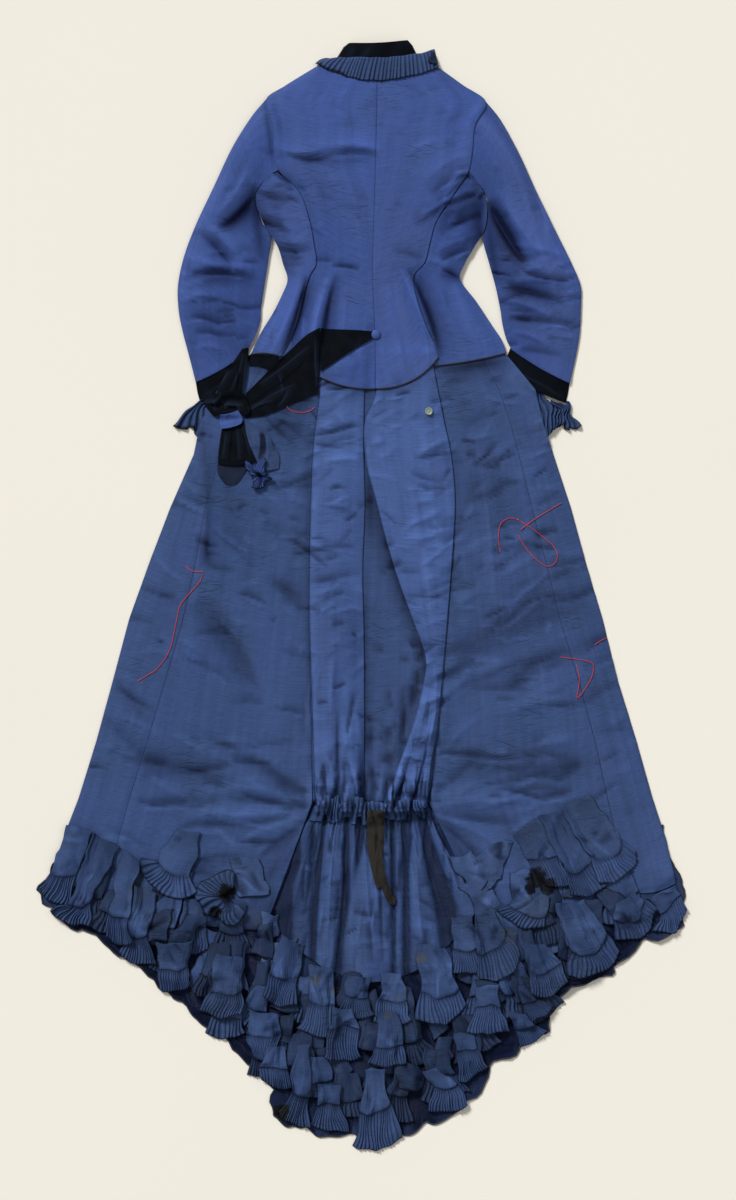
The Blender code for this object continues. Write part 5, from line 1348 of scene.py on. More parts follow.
def knife_pleats_tree():
    """Lifts a sheet into knife pleats that rise slowly and turn back sharply."""
    made = geometry_tree(
        "knife pleats", (("Depth scale", "NodeSocketFloat", 1.0), ("Turn", "NodeSocketFloat", PLEAT_TURN))
    )
    place, depth = (
        made.node("GeometryNodeInputNamedAttribute", (("Name", label),), data_type="FLOAT").outputs[0]
        for label in ("pleat_place", "pleat_depth")
    )
    part = made.math("FRACT", made.math("ADD", place, PLEAT_START))
    rise = made.math("DIVIDE", part, made.given["Turn"])
    fall = made.math("DIVIDE", made.math("SUBTRACT", 1.0, part), made.math("SUBTRACT", 1.0, made.given["Turn"]))
    full = made.math("MULTIPLY", depth, made.given["Depth scale"])
    lift = made.math("MULTIPLY", made.math("MINIMUM", rise, fall), full)
    offset = made.node("ShaderNodeCombineXYZ", ((2, lift),))
    moved = made.node(
        "GeometryNodeSetPosition", ((0, made.given["Geometry"]), ("Offset", offset.outputs[0]))
    )
    return end_tree(made, moved.outputs[0])


def tube_tree():
    """A round edge or cord along each line."""
    made = geometry_tree("tube along lines", (("Radius", "NodeSocketFloat", 0.001), ("Sides", "NodeSocketInt", 6)))
    line = made.node("GeometryNodeMeshToCurve", ((0, made.given["Geometry"]),))
    ring = made.node(
        "GeometryNodeCurvePrimitiveCircle", (("Resolution", made.given["Sides"]), ("Radius", made.given["Radius"]))
    )
    tube = made.node("GeometryNodeCurveToMesh", ((0, line.outputs[0]), (1, ring.outputs[0]), ("Fill Caps", True)))
    smooth = made.node("GeometryNodeSetShadeSmooth", ((0, tube.outputs[0]),))
    return end_tree(made, smooth.outputs[0])


def stitches_tree():
    """Short threads set along each line, at a turn to it."""
    made = geometry_tree(
        "stitches along lines",
        (
            ("Spacing", "NodeSocketFloat", 0.004),
            ("Length", "NodeSocketFloat", 0.0025),
            ("Radius", "NodeSocketFloat", 0.0003),
            ("Turn", "NodeSocketFloat", 0.0),
            ("Unevenness", "NodeSocketFloat", 0.15),
        ),
    )
    line = made.node("GeometryNodeMeshToCurve", ((0, made.given["Geometry"]),))
    points = made.node(
        "GeometryNodeCurveToPoints", ((0, line.outputs[0]), ("Length", made.given["Spacing"])), mode="LENGTH"
    )
    stitch = made.node(
        "GeometryNodeMeshCylinder",
        (("Vertices", 6), ("Side Segments", 2), ("Radius", made.given["Radius"]), ("Depth", made.given["Length"])),
    )
    drawn = made.node(
        "FunctionNodeRandomValue",
        ((2, made.math("MULTIPLY", made.given["Unevenness"], -1.0)), (3, made.given["Unevenness"]), ("Seed", 7)),
        data_type="FLOAT",
    )
    angle = made.math("ADD", made.given["Turn"], drawn.outputs[1])
    turn = made.node("ShaderNodeCombineXYZ", ((2, angle),))
    level = made.node("FunctionNodeRotateRotation", ((0, points.outputs["Rotation"]), (1, turn.outputs[0])))
    placed = made.node(
        "GeometryNodeInstanceOnPoints",
        ((0, points.outputs[0]), ("Instance", stitch.outputs[0]), ("Rotation", level.outputs[0])),
    )
    level.rotation_space = "GLOBAL"
    smooth = made.node("GeometryNodeSetShadeSmooth", ((0, placed.outputs[0]),))
    return end_tree(made, smooth.outputs[0])


def run_tree(obj, tree, **values):
    """Replaces the object's mesh by what the tree makes of it."""
    modifier = obj.modifiers.new("made", "NODES")
    modifier.node_group = tree
    sockets = {item.name: item.identifier for item in tree.interface.items_tree if item.in_out == "INPUT"}
    for label, value in values.items():
        modifier[sockets[label.replace("_", " ")]] = value
    seen = bpy.context.evaluated_depsgraph_get()
    mesh = bpy.data.meshes.new_from_object(obj.evaluated_get(seen), depsgraph=seen)
    obj.modifiers.clear()
    obj.data = mesh


NO_EDGES = (0.0, 0.0, 0.0, 0.0)


class Dress:
    """The dress as it is laid out. Each piece lies on those before it."""

    def __init__(self, sizes, colours):
        self.sizes = sizes
        self.pile = Pile()
        self.layer = []
        self.grids = {}
        self.materials = make_materials(colours)
        self.trees = {"pleats": knife_pleats_tree(), "tube": tube_tree(), "stitches": stitches_tree()}
        self.crumple = {
            name: crumple_creases(fields)
            for name, fields in (
                ("skirt", SKIRT_CRUMPLE), ("bodice", BODICE_CRUMPLE), ("sleeve", SLEEVE_CRUMPLE),
                ("train", TRAIN_CRUMPLE), ("tab", TAB_CRUMPLE), ("flute", FLUTE_CRUMPLE),
            )
        }

    def add(self, name, mesh, material):
        obj = bpy.data.objects.new(name, mesh)
        bpy.context.scene.collection.objects.link(obj)
        if material:
            mesh.materials.append(self.materials[material])
        return obj

    def declare(self, obj, nodes=()):
        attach(obj, "root")
        if nodes:
            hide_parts(*nodes)

    def finish_sheet(self, name, low, high, masks, material, nodes, rests_on, pleats=None):
        """Makes the shell, pleats it with a turn if it has pleats, and declares its cut."""
        obj = self.add(name, shell_mesh(name, low, high, masks), None)
        if pleats:
            run_tree(obj, self.trees["pleats"], Depth_scale=1.0, Turn=pleats, Material=self.materials[material])
            high = high + [0, 0, 1] * pleat_rise(masks, pleats)[..., None]
        else:
            obj.data.materials.append(self.materials[material])
        self.declare(obj, nodes)
        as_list(rests_on)
        self.layer.append(high)
        self.grids[name] = high

    def sheet(self, name, rows, material, spacing=0.004, curve=spline, mound=None, dome=(0, 0), creases=(),
              seams=NO_EDGES, seam_width=0.5, rounds=10, lift=0.0, edging=NO_EDGES, wear=0.0, pleats=None,
              held="laid", rests_on=(), nodes=None, bulge=0.0, shadows=(), flutes=(), hollow=(0.0, 0.0, 1.0), fade=1.0,
              rumple=(0.0, 0), ragged=0.0, swell=False, shade_and_tone=0.0):
        """One piece of cloth that follows its rows.

        Pleats are a count, the depths at its first and last row, a seed and a turn. Flutes are long folds, and hollow
        is the shade beside them with the y where it is full and the y where it starts. Rumple is an amount and a seed.
        """
        reach = reach_of(rows)
        down = line_places(reach[1], spacing)
        masks = {}
        if pleats:
            count, first, last, seed, turn = pleats
            across, place = pleat_places(count, seed, turn)
            masks["pleat_place"] = place
        else:
            across = line_places(reach[0], spacing)
        plan = rumpled(plan_of(rows, across, down, curve), *rumple)
        u, v = across[None], down[:, None]
        gap = np.zeros(plan.shape[:-1])
        if pleats:
            pick = np.random.RandomState(seed + 1)
            uneven = np.repeat(pick.uniform(*UNEVEN, count), 4)
            uneven = np.append(uneven, uneven[-1])
            deep = last + (first - last) * (1 - v) ** fade
            deep = deep * (0.15 + 0.85 * np.sin(np.pi * v) ** 0.8) if swell else deep
            masks["pleat_depth"] = deep * CM * uneven[None]
            # painted shade in the pleats' valleys
            gap = valley(place, turn) ** 2 * 0.85 * (deep / max(first, last)) ** 0.5
            high_end, low_end = (np.append(np.repeat(pick.uniform(-1, 1, count), 4), 0.0) for _ in range(2))
            plan[..., 1] += ragged * CM * (high_end * (1 - v) ** 2 + low_end * v**2)
        need = self.pile.under(plan)
        least = (dome[0] * (1 - v) + dome[1] * v) * CM * np.sqrt(1 - np.abs(2 * u - 1) ** DOME_SHOULDER)
        if mound is not None:
            least = np.maximum(least, mound_height(mound, plan))
        height = relaxed(need, least, rounds)
        fold, steep = crease_fields(creases, plan)
        room = room_above(need) if held == "hung" else 1.0
        bulging = bulge * np.sin(np.pi * u) * CM
        height = height + (fold + bulging) * room + lift * CM - edge_sink(plan, seams, seam_width)
        # painted shade in crease troughs and from the shadows tables; the even amount added first is painted shade for
        # pieces that lie in recesses, and a darker cloth for others
        shade = shade_and_tone + ((-steep).clip(0) ** FOLD_POWER * FOLD_SHADE).clip(0, FOLD_SHADE_MOST)
        shade = shade + crease_fields(shadows, plan, 1.0, 1.0)[0] / CM
        if flutes:
            raised = np.array([mound_height(flute, plan, 2.0) for flute in flutes]).max(axis=0)
            height = height + raised
            strength, dark_y, plain_y = hollow
            near = np.interp(-plan[..., 1] / CM, (-plain_y, -dark_y), (0, 1))
            shade = np.maximum(shade, strength * near * (1 - raised / FLUTE_CLEAR).clip(0, 1))
        height = np.maximum(height, need)
        lines = tuple(min(SEAM_LINE_DEPTH * depth, SEAM_LINE_MOST) for depth in seams)
        seam_line = edge_sink(plan, lines, SEAM_LINE_WIDTH) / CM
        masks["shade"] = np.maximum(np.maximum(shade, gap), seam_line).clip(0, 1)
        # painted highlight on crease ridges
        masks["light"] = (steep.clip(0) ** FOLD_POWER * FOLD_LIGHT).clip(0, 1) * (1 - masks["shade"])
        masks["edging"] = edge_band(plan, edging)
        masks["wear"] = np.full(plan.shape[:-1], wear)
        low = np.concatenate([plan, height[..., None]], axis=-1)
        high = low + [0, 0, self.sizes.wall]
        self.finish_sheet(
            name, low, high, masks, material, (name,) if nodes is None else nodes, rests_on,
            pleats[4] if pleats else None,
        )

    def tube(self, name, rows, material, height, columns=40, spacing=0.004):
        """A flattened band, closed round, that lies on the surface."""
        down = line_places(reach_of(rows)[1], spacing)
        turn = np.linspace(0, np.pi, columns // 2 + 1)
        across = 0.5 - 0.5 * np.cos(np.concatenate([turn, turn[-2::-1]]))
        upper = np.arange(len(across)) <= columns // 2
        width = reach_of(rows)[0]
        inner_across = TUBE_MARGIN / width + across * (1 - 2 * TUBE_MARGIN / width)
        grids = []
        for place, inside in ((inner_across, True), (across, False)):
            arch = height * CM * (4 * place * (1 - place)).clip(0, 1) ** 0.45
            floor = TUBE_FLOOR if inside else 0.0
            level = np.where(upper, arch - (TUBE_WALL if inside else 0), floor)
            edge = (across < 1e-6) | (across > 1 - 1e-6)
            level = np.where(edge & inside, TUBE_EDGE, np.maximum(level, floor))
            plan = plan_of(rows, place, down, straight)
            fold, steep = crease_fields(self.crumple["sleeve"] + VELVET_CREASES, plan)
            level = np.maximum(level[None] + fold * upper[None], floor)
            grids.append(np.concatenate([plan, level[..., None]], axis=-1))
        low, high = grids
        # painted highlight on crease ridges
        masks = {"light": steep.clip(0, 1)}
        self.finish_sheet(name, low, high, masks, material, (name.removesuffix("_velvet"),), ())
        self.layer[-1] = high[:, : columns // 2 + 1]

    def tab(self, name, sizes, nodes, seed, count=14, material="frill silk"):
        """A hanging tab: a bound flap with a knife-pleated frill that hangs from under it."""
        root, tip, edge = sizes[0:4] + (0.0,), sizes[4:9], sizes[9:14]
        across, place = pleat_places(count, seed)
        pick = np.random.RandomState(seed + 1)
        flap_rows = 7 if count < 12 else 13
        down = np.concatenate([
            np.linspace(0, 0.47, flap_rows), [0.492, 0.5, 0.508], np.linspace(0.55, 0.965, 6), [0.985, 1.0],
        ])
        plan = rumpled(plan_of((root, tip, edge), across, down, straight), 0.3, seed + 2)
        u, v = across[None], down[:, None]
        need = self.pile.under(plan)
        frill = ((v - 0.5) / 0.5).clip(0, 1)
        flap = v < FLAP_END
        uneven = np.append(np.repeat(pick.uniform(0.5, 1.5, count), 4), 1.0)
        height = relaxed(need, np.zeros_like(need), 14)
        bend = pick.uniform(-0.12, 0.2) * np.sin(2 * np.pi * (u + pick.uniform(0, 1))) * v
        bulge = 0.4 * np.sin(np.pi * u) ** 0.5 * np.sin(np.pi * (0.15 + 0.85 * (v / 0.5).clip(0, 1))) * flap
        fold, steep = (field * (0.3 + 0.7 * flap) for field in crease_fields(self.crumple["tab"], plan))
        room = room_above(need)
        height = height + ((bulge + bend + 0.25 * flap) * CM + fold) * room + 0.05 * CM
        height = np.maximum(height, need)
        masks = {
            "pleat_place": np.broadcast_to(place, plan.shape[:-1]),
            "pleat_depth": np.where(flap, 0.0, (0.14 + 0.26 * frill) * CM * uneven[None]) * room,
            "edging": np.maximum(
                0.7 * edge_band(plan, (0.06, 0.06, 0.0, 0.16)), (np.abs(v - FLAP_BINDING) < 0.012) * 0.4
            ),
            # painted shade near the flap's root, where the frill starts under the flap, in the frill's valleys and in
            # crease troughs, then a darker tone at random for each tab
            "shade": np.maximum(
                np.where(flap, 0.45 * (1 - v / 0.3).clip(0, 1), (1 - frill / 0.3).clip(0, 1) * 0.8),
                np.maximum((-1.1 * steep).clip(0, 0.7), valley(place, PLEAT_TURN)[None] ** 2 * 0.62 * ~flap),
            ) * 0.8 + pick.uniform(0.0, 0.26),
            # painted highlight on crease ridges
            "light": (1.2 * steep).clip(0, 1),
            "wear": np.full(plan.shape[:-1], pick.uniform(0, 0.3)),
        }
        low = np.concatenate([plan, height[..., None]], axis=-1)
        high = low + [0, 0, self.sizes.wall]
        self.finish_sheet(name, low, high, masks, material, nodes, ("train_base_silk",), PLEAT_TURN)
        self.lay()

    def rosette(self, name, centre, inner, outer, start, end, nodes, seed, count=20, material="frill silk",
                rests_on=("train_base_silk",)):
        """A frill gathered round a middle darkened with painted shade. It runs from a start to an end angle, with its
        reach at even steps.
        """
        across, place = pleat_places(count, seed)
        down = np.concatenate([np.linspace(0, 0.95, 14), [0.985, 1.0]])
        u, v = across[None], down[:, None]
        angle = np.radians(start + (end - start) * u)
        radius = inner + (np.interp(across, np.linspace(0, 1, len(outer)), outer)[None] - inner) * v
        plan = np.stack([centre[0] + radius * np.cos(angle), centre[1] + radius * np.sin(angle)], axis=-1) * CM
        plan = rumpled(plan, 0.6, seed)
        need = self.pile.under(plan)
        height = relaxed(need, np.zeros_like(need), 8) + (0.15 + 0.55 * np.sin(np.pi * v) ** 0.6) * CM
        uneven = np.append(np.repeat(np.random.RandomState(seed).uniform(*UNEVEN, count), 4), 1.0)
        # painted shade towards the middle and in the pleats' valleys
        shade = np.maximum((1.1 - v / 0.55).clip(0, 1), valley(place, PLEAT_TURN)[None] ** 2 * 0.7) * 0.85 + 0.15
        masks = {
            "pleat_place": np.broadcast_to(place, plan.shape[:-1]),
            "pleat_depth": (0.12 + 0.28 * v) * CM * uneven[None],
            "edging": edge_band(plan, (0.0, 0.0, 0.0, 0.18)),
            "shade": shade,
            "wear": np.full(plan.shape[:-1], 0.3),
        }
        low = np.concatenate([plan, np.maximum(height, need)[..., None]], axis=-1)
        high = low + [0, 0, self.sizes.wall]
        self.finish_sheet(name, low, high, masks, material, nodes, rests_on, PLEAT_TURN)
        self.lay()

    def lay(self):
        """Ends a layer, so that the next one lies on it."""
        for points in self.layer:
            self.pile.settle(points)
        self.layer = []

    def lines(self, name, paths, kind, material, **sizes):
        """Tubes or stitches along lines of points, as one piece."""
        mesh = bpy.data.meshes.new(name)
        points, edges = [], []
        for path in paths:
            edges += [(len(points) + i, len(points) + i + 1) for i in range(len(path) - 1)]
            points += np.asarray(path, float).tolist()
        mesh.from_pydata(points, edges, [])
        obj = self.add(name, mesh, None)
        run_tree(obj, self.trees[kind], Material=self.materials[material], **sizes)
        self.declare(obj)

    def resting(self, path, clearance, step=0.003):
        """A path in centimetres, evenly stepped and laid on the pile."""
        path = np.asarray(path, float) * CM
        along = np.concatenate([[0], np.linalg.norm(np.diff(path, axis=0), axis=1).cumsum()])
        places = np.interp(np.linspace(0, along[-1], max(3, int(along[-1] / step))), along, np.arange(len(path)))
        points = spline(path, places)
        level = self.pile.under(points[None])[0]
        level = np.maximum(level, np.convolve(np.pad(level, 2, mode="edge"), np.ones(5) / 5, "valid"))
        return np.column_stack([points, level + clearance])


def line_places(reach, spacing):
    """Places from 0 to 1 along a piece, with one more close to each end."""
    count = max(3, int(round(reach / spacing)))
    places = np.linspace(0, 1, count + 1)
    margin = min(0.3 / count, 0.0015 / reach)
    return np.concatenate([[0, margin], places[1:-1], [1 - margin, 1]])


def pleat_places(count, seed, turn=PLEAT_TURN):
    """Places across of the columns of count uneven pleats, and the pleat that each is in."""
    pick = np.random.RandomState(seed)
    widths = pick.uniform(0.75, 1.25, count)
    knots = np.concatenate([[0], widths.cumsum() / widths.sum()])
    parts = np.array([0.0, turn * 0.55, turn, (1 + turn) / 2])
    across = (knots[:-1, None] + parts[None] * np.diff(knots)[:, None]).ravel()
    place = (np.arange(count)[:, None] + parts[None]).ravel()
    return np.append(across, 1.0), np.append(place, float(count))


def valley(place, turn):
    """1 at the foot of each pleat and 0 on its crest."""
    part = (place + PLEAT_START) % 1.0
    return 1 - np.minimum(part / turn, (1 - part) / (1 - turn))


def pleat_rise(masks, turn):
    """How far the knife pleats lift each point, as their tree does."""
    part = (masks["pleat_place"] + PLEAT_START) % 1.0
    return np.minimum(part / turn, (1 - part) / (1 - turn)) * masks["pleat_depth"]


def edge_band(plan, widths):
    """1 within a width in centimetres of the left, right, top and bottom edges."""
    band = np.zeros(plan.shape[:-1])
    for width, edge in zip(widths, (plan[:, :1], plan[:, -1:], plan[:1], plan[-1:]), strict=True):
        if width:
            band = np.maximum(band, np.linalg.norm(plan - edge, axis=-1) < width * CM)
    return band


class DressSizes(bpy.types.PropertyGroup):
    """Sizes that a maker would change."""

    wall: bpy.props.FloatProperty(
        name="Cloth", description="Thickness of cloth and lining", default=0.0012, unit="LENGTH"
    )
    binding: bpy.props.FloatProperty(
        name="Edge binding", description="Radius of the bound edges", default=0.0013, unit="LENGTH"
    )
    stitch: bpy.props.FloatProperty(name="Stitch", description="Length of one stitch", default=0.0028, unit="LENGTH")
    thread: bpy.props.FloatProperty(
        name="Thread", description="Radius of the sewing thread", default=0.0003, unit="LENGTH"
    )


class DressColours(bpy.types.PropertyGroup):
    """Colours that a maker would change."""

    bodice_silk: bpy.props.FloatVectorProperty(
        name="Bodice silk", description="Silk of bodice and sleeves", default=(0.045, 0.086, 0.292), subtype="COLOR"
    )
    skirt_silk: bpy.props.FloatVectorProperty(
        name="Skirt silk", description="Silk of the skirt", default=(0.040, 0.075, 0.208), subtype="COLOR"
    )
    frill_silk: bpy.props.FloatVectorProperty(
        name="Frill silk", description="Silk of tabs and frills", default=(0.042, 0.079, 0.205), subtype="COLOR"
    )
    velvet: bpy.props.FloatVectorProperty(
        name="Velvet", description="Velvet of collar, cuffs and sash", default=(0.0012, 0.0022, 0.0042), subtype="COLOR"
    )
    edging: bpy.props.FloatVectorProperty(
        name="Edging", description="Binding of the edges", default=(0.006, 0.008, 0.016), subtype="COLOR"
    )
    thread: bpy.props.FloatVectorProperty(
        name="Basting thread", description="Loose red thread", default=(0.6, 0.05, 0.06), subtype="COLOR"
    )
    floor: bpy.props.FloatVectorProperty(
        name="Surface", description="The surface under the dress", default=(0.835, 0.805, 0.735), subtype="COLOR"
    )


laid = []
# metres: half the side of the surface and its level
SURFACE_HALF = 6
SURFACE_LEVEL = -0.0004
DAYLIGHT = (1.0, 0.985, 0.96)
AMBIENT = 0.34
# name, where it shines from, spread in degrees, strength
LAMPS = (("window", (-0.62, 0.88, 0.86), 16.0, 3.2), ("fill", (0.9, 0.2, 1.2), 40.0, 0.3))
# millimetres, and metres
LENS = 100
SENSOR = 36
CAMERA_PLACE = (0.0099, -0.0063, 6.0)


def dress():
    """The dress that is being laid out."""
    if not laid:
        raise RuntimeError("The stage comes first: it starts the dress")
    return laid[-1]


def centimetres(px, py):
    """A pixel of the photograph as a place on the surface."""
    return (px - PHOTO_CENTRE[0]) * PHOTO_PIXEL_CM, (PHOTO_CENTRE[1] - py) * PHOTO_PIXEL_CM


class DRESS_OT_stage(bpy.types.Operator):
    """Sets out the surface, the light and the camera"""

    bl_idname = "bustle_dress.stage"
    bl_label = "Stage"

    def execute(self, context):
        scene = context.scene
        laid.append(Dress(scene.dress_sizes, scene.dress_colours))
        mesh = bpy.data.meshes.new("surface")
        corners = [(x * SURFACE_HALF, y * SURFACE_HALF, SURFACE_LEVEL) for x, y in ((-1, -1), (1, -1), (1, 1), (-1, 1))]
        mesh.from_pydata(corners, [], [(0, 1, 2, 3)])
        floor = bpy.data.objects.new("surface", mesh)
        scene.collection.objects.link(floor)
        material = bpy.data.materials.new("surface")
        material.use_nodes = True
        tree = material.node_tree
        place = add_node(tree, "ShaderNodeTexCoord").outputs["Object"]
        tone = add_node(tree, "ShaderNodeTexNoise", (("Vector", place), ("Scale", 1.2), ("Detail", 1.0)))
        darker, lighter = (shades(scene.dress_colours.floor, factor) for factor in (0.985, 1.015))
        colour = mix_colours(tree, tone.outputs[0], darker, lighter)
        shader = tree.nodes["Principled BSDF"]
        tree.links.new(colour, shader.inputs["Base Color"])
        shader.inputs["Roughness"].default_value = 0.9
        mesh.materials.append(material)
        world = bpy.data.worlds.new("studio")
        world.use_nodes = True
        world.node_tree.nodes["Background"].inputs["Color"].default_value = (*DAYLIGHT, 1)
        world.node_tree.nodes["Background"].inputs["Strength"].default_value = AMBIENT
        scene.world = world
        for name, away, spread, strength in LAMPS:
            lamp = bpy.data.lights.new(name, "SUN")
            lamp.angle = np.radians(spread)
            lamp.energy = strength
            lamp.color = DAYLIGHT
            light = bpy.data.objects.new(name, lamp)
            light.location = np.multiply(away, 3.0)
            light.rotation_euler = (np.arctan2(np.hypot(away[0], away[1]), away[2]), 0, np.arctan2(away[0], -away[1]))
            scene.collection.objects.link(light)
        lens = bpy.data.cameras.new("camera")
        lens.lens = LENS
        lens.sensor_width = SENSOR
        camera = bpy.data.objects.new("camera", lens)
        camera.location = CAMERA_PLACE
        scene.collection.objects.link(camera)
        scene.camera = camera
        scene.view_settings.view_transform = "Standard"
        return {"FINISHED"}


class DRESS_OT_under_side(bpy.types.Operator):
    """Lays the fronts and the under sleeves, which hardly show"""

    bl_idname = "bustle_dress.under_side"
    bl_label = "Fronts and under sleeves"

    def execute(self, context):
        made = dress()
        for name, rows in (("bodice_front_left", BODICE_FRONT_LEFT), ("bodice_front_right", BODICE_FRONT_RIGHT)):
            made.sheet(f"{name}_silk", rows, "blue silk", 0.02, nodes=(name,))
        for side, rows in (("left", SLEEVE_LEFT), ("right", SLEEVE_RIGHT)):
            inner = inset(rows, 0.5)
            made.sheet(f"sleeve_{side}_under_silk", inner[:-1], "blue silk", 0.02, nodes=(f"sleeve_{side}_under",))
        return {"FINISHED"}


class DRESS_OT_cuffs(bpy.types.Operator):
    """Makes the velvet cuffs and their knife-pleated frills"""

    bl_idname = "bustle_dress.cuffs"
    bl_label = "Cuffs"

    def execute(self, context):
        made = dress()
        for side, cuff, frill in (("left", CUFF_LEFT, CUFF_FRILL_LEFT), ("right", CUFF_RIGHT, CUFF_FRILL_RIGHT)):
            made.tube(f"cuff_{side}_velvet", cuff, "velvet", 1.0)
            made.sheet(
                f"cuff_frill_{side}_silk", frill, "frill silk", nodes=(f"cuff_frill_{side}",), held="gathered",
                pleats=(22, 0.3, 0.6, 5, 0.7), edging=(0.15, 0.15, 0, 0.25), rounds=4, rumple=(0.6, 6), ragged=0.7,
            )
        return {"FINISHED"}


class DRESS_OT_collar_stand(bpy.types.Operator):
    """Makes the standing velvet collar"""

    bl_idname = "bustle_dress.collar_stand"
    bl_label = "Collar stand"

    def execute(self, context):
        made = dress()
        made.tube("collar_stand_velvet", COLLAR_STAND[::-1], "velvet", 1.6)
        made.lay()
        return {"FINISHED"}


class DRESS_OT_skirt(bpy.types.Operator):
    """Lays the skirt's front, its hem and its back breadths"""

    bl_idname = "bustle_dress.skirt"
    bl_label = "Skirt"

    def execute(self, context):
        made = dress()
        made.sheet("skirt_front_silk", SKIRT_FRONT, "skirt silk", 0.03, straight, nodes=("skirt_front",))
        made.lay()
        # painted shade over the whole base, whose visible parts lie in the recesses under the tabs
        made.sheet(
            "train_base_silk", TRAIN_BASE, "skirt silk", 0.0075, straight, nodes=("train_base",), rumple=(0.5, 12),
            creases=SKIRT_CREASES + made.crumple["skirt"] + made.crumple["train"], wear=0.2, shadows=TRAIN_SHADOWS,
            rests_on=("skirt_front_silk",), shade_and_tone=0.5,
        )
        made.lay()
        creases = SKIRT_CREASES + made.crumple["skirt"]
        for name, rows in (
            ("skirt_gore_left", SKIRT_GORE_LEFT), ("skirt_back_left", SKIRT_BACK_LEFT),
            ("skirt_back_centre", SKIRT_BACK_CENTRE), ("skirt_back_right", SKIRT_BACK_RIGHT),
            ("skirt_gore_right", SKIRT_GORE_RIGHT),
        ):
            made.sheet(
                f"{name}_silk", rows, "skirt silk", 0.0065 if "centre" in name else 0.0047, straight, SKIRT_MOUND,
                creases=creases, seams=(0.05, 0.05, 0, 0.5), nodes=(name,), wear=0.05,
                shadows=SKIRT_SHADOWS + TRAIN_SHADOWS, rests_on=("skirt_front_silk", "train_base_silk"),
            )
        return {"FINISHED"}


class DRESS_OT_train(bpy.types.Operator):
    """Makes the fluted train, the drapery folds and the drawn-in casing"""

    bl_idname = "bustle_dress.train"
    bl_label = "Train and drapery folds"

    def execute(self, context):
        made = dress()
        made.sheet(
            "train_back_silk", TRAIN_BACK, "skirt silk", 0.003, nodes=("train_back",), pleats=(34, 0.45, 0.0, 4, 0.5),
            fade=8.0, creases=TRAIN_CREASES + made.crumple["flute"], held="gathered", wear=0.3,
            rests_on=("train_base_silk",), flutes=TRAIN_FLUTES, hollow=(0.85, -38.0, -37.0),
        )
        made.lay()
        creases = PLEAT_CREASES + made.crumple["skirt"]
        for name, rows, lift in (
            ("back_pleat_left", BACK_PLEAT_LEFT, 0.2), ("back_pleat_right", BACK_PLEAT_RIGHT, 0.25),
        ):
            made.sheet(
                f"{name}_silk", rows, "lit drapery silk", 0.0034, mound=SKIRT_MOUND, creases=creases, lift=lift, bulge=0.25,
                seams=(0.1, 0.1, 0, 0), nodes=(name,), held="folded", flutes=GATHER_FLUTES,
                shadows=SKIRT_SHADOWS[:6] + PLEAT_SHADOWS, rests_on=("skirt_back_centre_silk",),
                hollow=(0.95, -34.0, -22.0),
            )
            made.lay()
        made.sheet(
            "gather_band_silk", GATHER_BAND, "skirt silk", 0.0016, nodes=("gather_band",),
            pleats=(27, 0.6, 0.6, 8, 0.5), held="gathered", rests_on=("train_back_silk",), rounds=20, ragged=1.0,
            swell=True, wear=0.1,
            shadows=((-8.8, -37.9, 12.0, -37.9, 0.25, 0.35, 0.1),), creases=made.crumple["flute"], rumple=(0.3, 14),
        )
        made.lay()
        for name, rows, nodes in (
            ("gather_tie_tape", GATHER_TIE, ("gather_tie",)), ("gather_tie_end_tape", TIE_END, ()),
        ):
            made.sheet(
                name, rows, "tape", 0.002, nodes=nodes, rounds=3, creases=made.crumple["tab"] + TIE_CREASES,
                rumple=(0.12, 9), rests_on=("train_back_silk",),
            )
            made.lay()
        return {"FINISHED"}


# height over the hem and spacing of each tier of lower tabs, from the top tier down
TIERS = ((22.4, 7.0), (17.2, 6.4), (12.0, 6.0), (7.2, 5.8), (3.4, 5.4))
HEM_TIP = (0.0, -97.0)
# a tab's edge seen from its tip, its root's half width, its frill's half width, and the share of tabs with a frill
TAB_MIDDLE = 0.42
ROOT_SHARE = 0.8
FRILL_SHARE = 1.55
FRILLED = 0.72


def lower_tabs():
    """Places of the many tabs that lie lowest along the hem, tier by tier, in the columns of TABS."""
    sides = [row[0:2] for row in TRAIN_BASE[3:]] + [row[2:4] for row in TRAIN_BASE[3:]]
    hem = np.array(sorted(sides + [HEM_TIP]))
    pick = np.random.RandomState(17)
    tabs = []
    for rise, step in TIERS:
        for x in np.arange(-50.0, 51.0, step):
            x = x + pick.uniform(-1.6, 1.6)
            y = np.interp(x, hem[:, 0], hem[:, 1]) + rise + pick.uniform(-1.2, 1.2)
            lean = 0.5 * x / 50 + pick.uniform(-0.3, 0.3)
            size, half = pick.uniform(6.6, 9.6), pick.uniform(1.7, 2.9)
            root = (x - lean * size, y + size)
            if root[1] > -47.0 - 6.0 * (abs(x) < 34) or (-15.0 < root[0] < 19.0 and root[1] > -66.0):
                continue
            middle = (x - lean * size * TAB_MIDDLE, y + size * TAB_MIDDLE)
            narrow, wide, fall = half * ROOT_SHARE, half * FRILL_SHARE, lean * half * FRILL_SHARE
            sizes = (
                root[0] - narrow, root[1], root[0] + narrow, root[1] + pick.uniform(-0.8, 0.8),
                middle[0] - half, middle[1] - lean * half, middle[0] + half, middle[1] + lean * half, 0.5,
                x - wide, y - fall, x + wide, y + fall, pick.uniform(0.5, 1.6),
            )
            tabs.append(("tab" if pick.uniform() < FRILLED else "flap", sizes))
    return tabs


